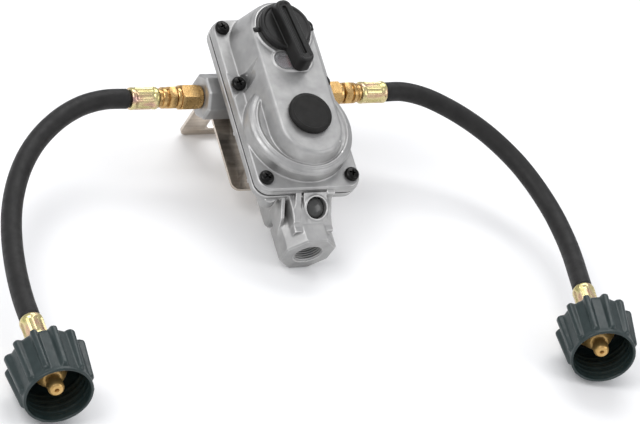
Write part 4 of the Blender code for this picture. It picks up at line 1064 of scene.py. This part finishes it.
def nut_mesh(segments=240):
    half, mouth, neck, floor = (
        value / MM for value in (NUT_HALF_LENGTH, NUT_MOUTH_RADIUS, NUT_NECK_HOLE, NUT_FLOOR))
    body, lip, rib, taper = (
        value / MM for value in (NUT_BODY_RADIUS, NUT_LIP_RADIUS, NUT_RIB_RADIUS, NUT_RIB_TAPER))
    shape = bmesh.new()
    rings = []

    def add_outside(height, radius, rib_radius, flatness):
        def reach(t):
            return (radius * (1 + (panel_dip(t) - 1) * 0.8 * flatness)
                    + max(rib_radius - radius, 0.0) * rib_share(t))

        rings.append(ring_at(shape, height, reach, segments))

    for height, radius in ((-half + 0.5, neck), (-half, neck + 0.5), (-half, body - 3.0)):
        add_outside(height, radius, 0.0, 0.0)
    for height, radius, rib_radius, flatness in (
            (-half + 0.1, body - 2.2, body - 1.6, 0.2), (-half + 0.4, body - 1.4, body + 0.4, 0.6),
            (-half + 0.9, body - 0.8, rib - 1.3, 0.9), (-half + 1.6, body - 0.4, rib - 0.45, 1.0),
            (-half + 2.4, body - 0.15, rib - 0.05, 1.0)):
        add_outside(height, radius, rib_radius, flatness)
    steps = 16
    for i in range(steps + 1):
        share = i / steps
        add_outside(-half + 3.2 + share * (2 * half - 8.0), body + (lip - body) * share,
                    rib - taper * share, 1.0 - 0.25 * share)
    for below, stand, flatness in ((4.2, 0.95, 0.7), (3.6, 0.8, 0.6), (3.1, 0.5, 0.5), (2.7, 0.15, 0.4),
                                   (2.4, 0.0, 0.3), (1.6, 0.0, 0.15), (0.8, 0.0, 0.0)):
        add_outside(half - below, lip, lip + (rib - taper - lip) * stand, flatness)
    for below, radius in ((0.35, lip - 0.12), (0.1, lip - 0.4), (0.0, lip - 0.7), (0.0, mouth + 0.9),
                          (0.15, mouth + 0.6), (0.6, mouth + 0.35)):
        add_outside(half - below, radius, 0.0, 0.0)
    pitch, depth, rows = 4.2, 0.5, 60
    top, bottom = half - 1.2, floor + 5.0
    for row in range(rows + 1):
        height = top + (bottom - top) * row / rows
        fade = min(1.0, row / 8, (rows - row) / 8)

        def threaded(t, h=height, f=fade):
            phase = (h / pitch - t / math.tau) % 1.0
            tooth = smooth_step(phase, 0.08, 0.26) * (1.0 - smooth_step(phase, 0.54, 0.72))
            return mouth + 0.3 - depth * 0.5 * tooth * f

        rings.append(ring_at(shape, height, threaded, segments))
    for height, radius in ((floor + 4.0, mouth), (floor + 0.6, mouth), (floor, mouth - 0.6),
                           (floor, neck + 0.5), (floor - 0.5, neck)):
        add_outside(height, radius, 0.0, 0.0)
    join_rings(shape, rings, segments, closed=True)
    return finished_mesh(shape, "nut")


def make_nut(name, materials):
    place = nut_frame(name)
    place_piece(f"handwheel_{name}", nut_mesh(), materials["green_nylon"], f"{name}_handwheel", place,
                [f"acme_nut_{name}"], sharp=60)
    nipple = turned(
        ((0, -26.2), (5.4, -26.2), (5.6, -26.0), (5.6, -18), (6.3, -17), (6.3, -9.2), (11.9, -9.2),
         (12.2, -8.9), (12.2, -7.1), (11.9, -6.7), (9.9, -6.2), (9.5, -5.6), (9.3, -3.0), (9.1, -1.6),
         (8.5, -0.6), (7.3, 1.3), (5.9, 3.1), (5.3, 3.5), (5.0, 3.6), (3.8, 3.7), (3.6, 4.0), (3.6, 5.2),
         (3.9, 5.5), (4.4, 5.8), (4.5, 6.0), (4.5, 9.9), (4.3, 10.8), (3.7, 11.5), (3.2, 11.9), (1.4, 11.9),
         (1.2, 11.6), (1.2, 3.0), (0, 3.0)), 96)
    place_piece(f"nipple_turned_{name}", mesh_of(nipple), materials["brass_nose"], "housing", place,
                [f"nipple_{name}"], sharp=35)
    place_piece(f"far_ferrule_crimped_{name}", ferrule_mesh(*FAR_FERRULE), materials["yellow_zinc"],
                "housing", place, [f"far_ferrule_{name}"], sharp=50)


# ---------------------------------------------------------------- assembly

def dress_cad_nodes(materials):
    """Gives each CAD node that still shows its procedural material."""
    for name, node in frame["nodes"].items():
        if node.hide_render:
            continue
        node.data.materials.clear()
        node.data.materials.append(materials[SLOTS[name]])
        node.data.shade_smooth()
        node.data.set_sharp_from_angle(angle=math.radians(40))


def main():
    make_camera()
    materials = make_materials()
    hoses = {name: make_hose(name, materials) for name in SIDES}
    make_studio()
    make_cover(materials)
    make_body(materials)
    make_bracket(materials)
    make_screws(materials)
    make_knob(materials)
    make_cap(materials)
    make_window(materials)
    for name in SIDES:
        make_inlet_fittings(name, materials)
        make_nut(name, materials)
    dress_cad_nodes(materials)


main()
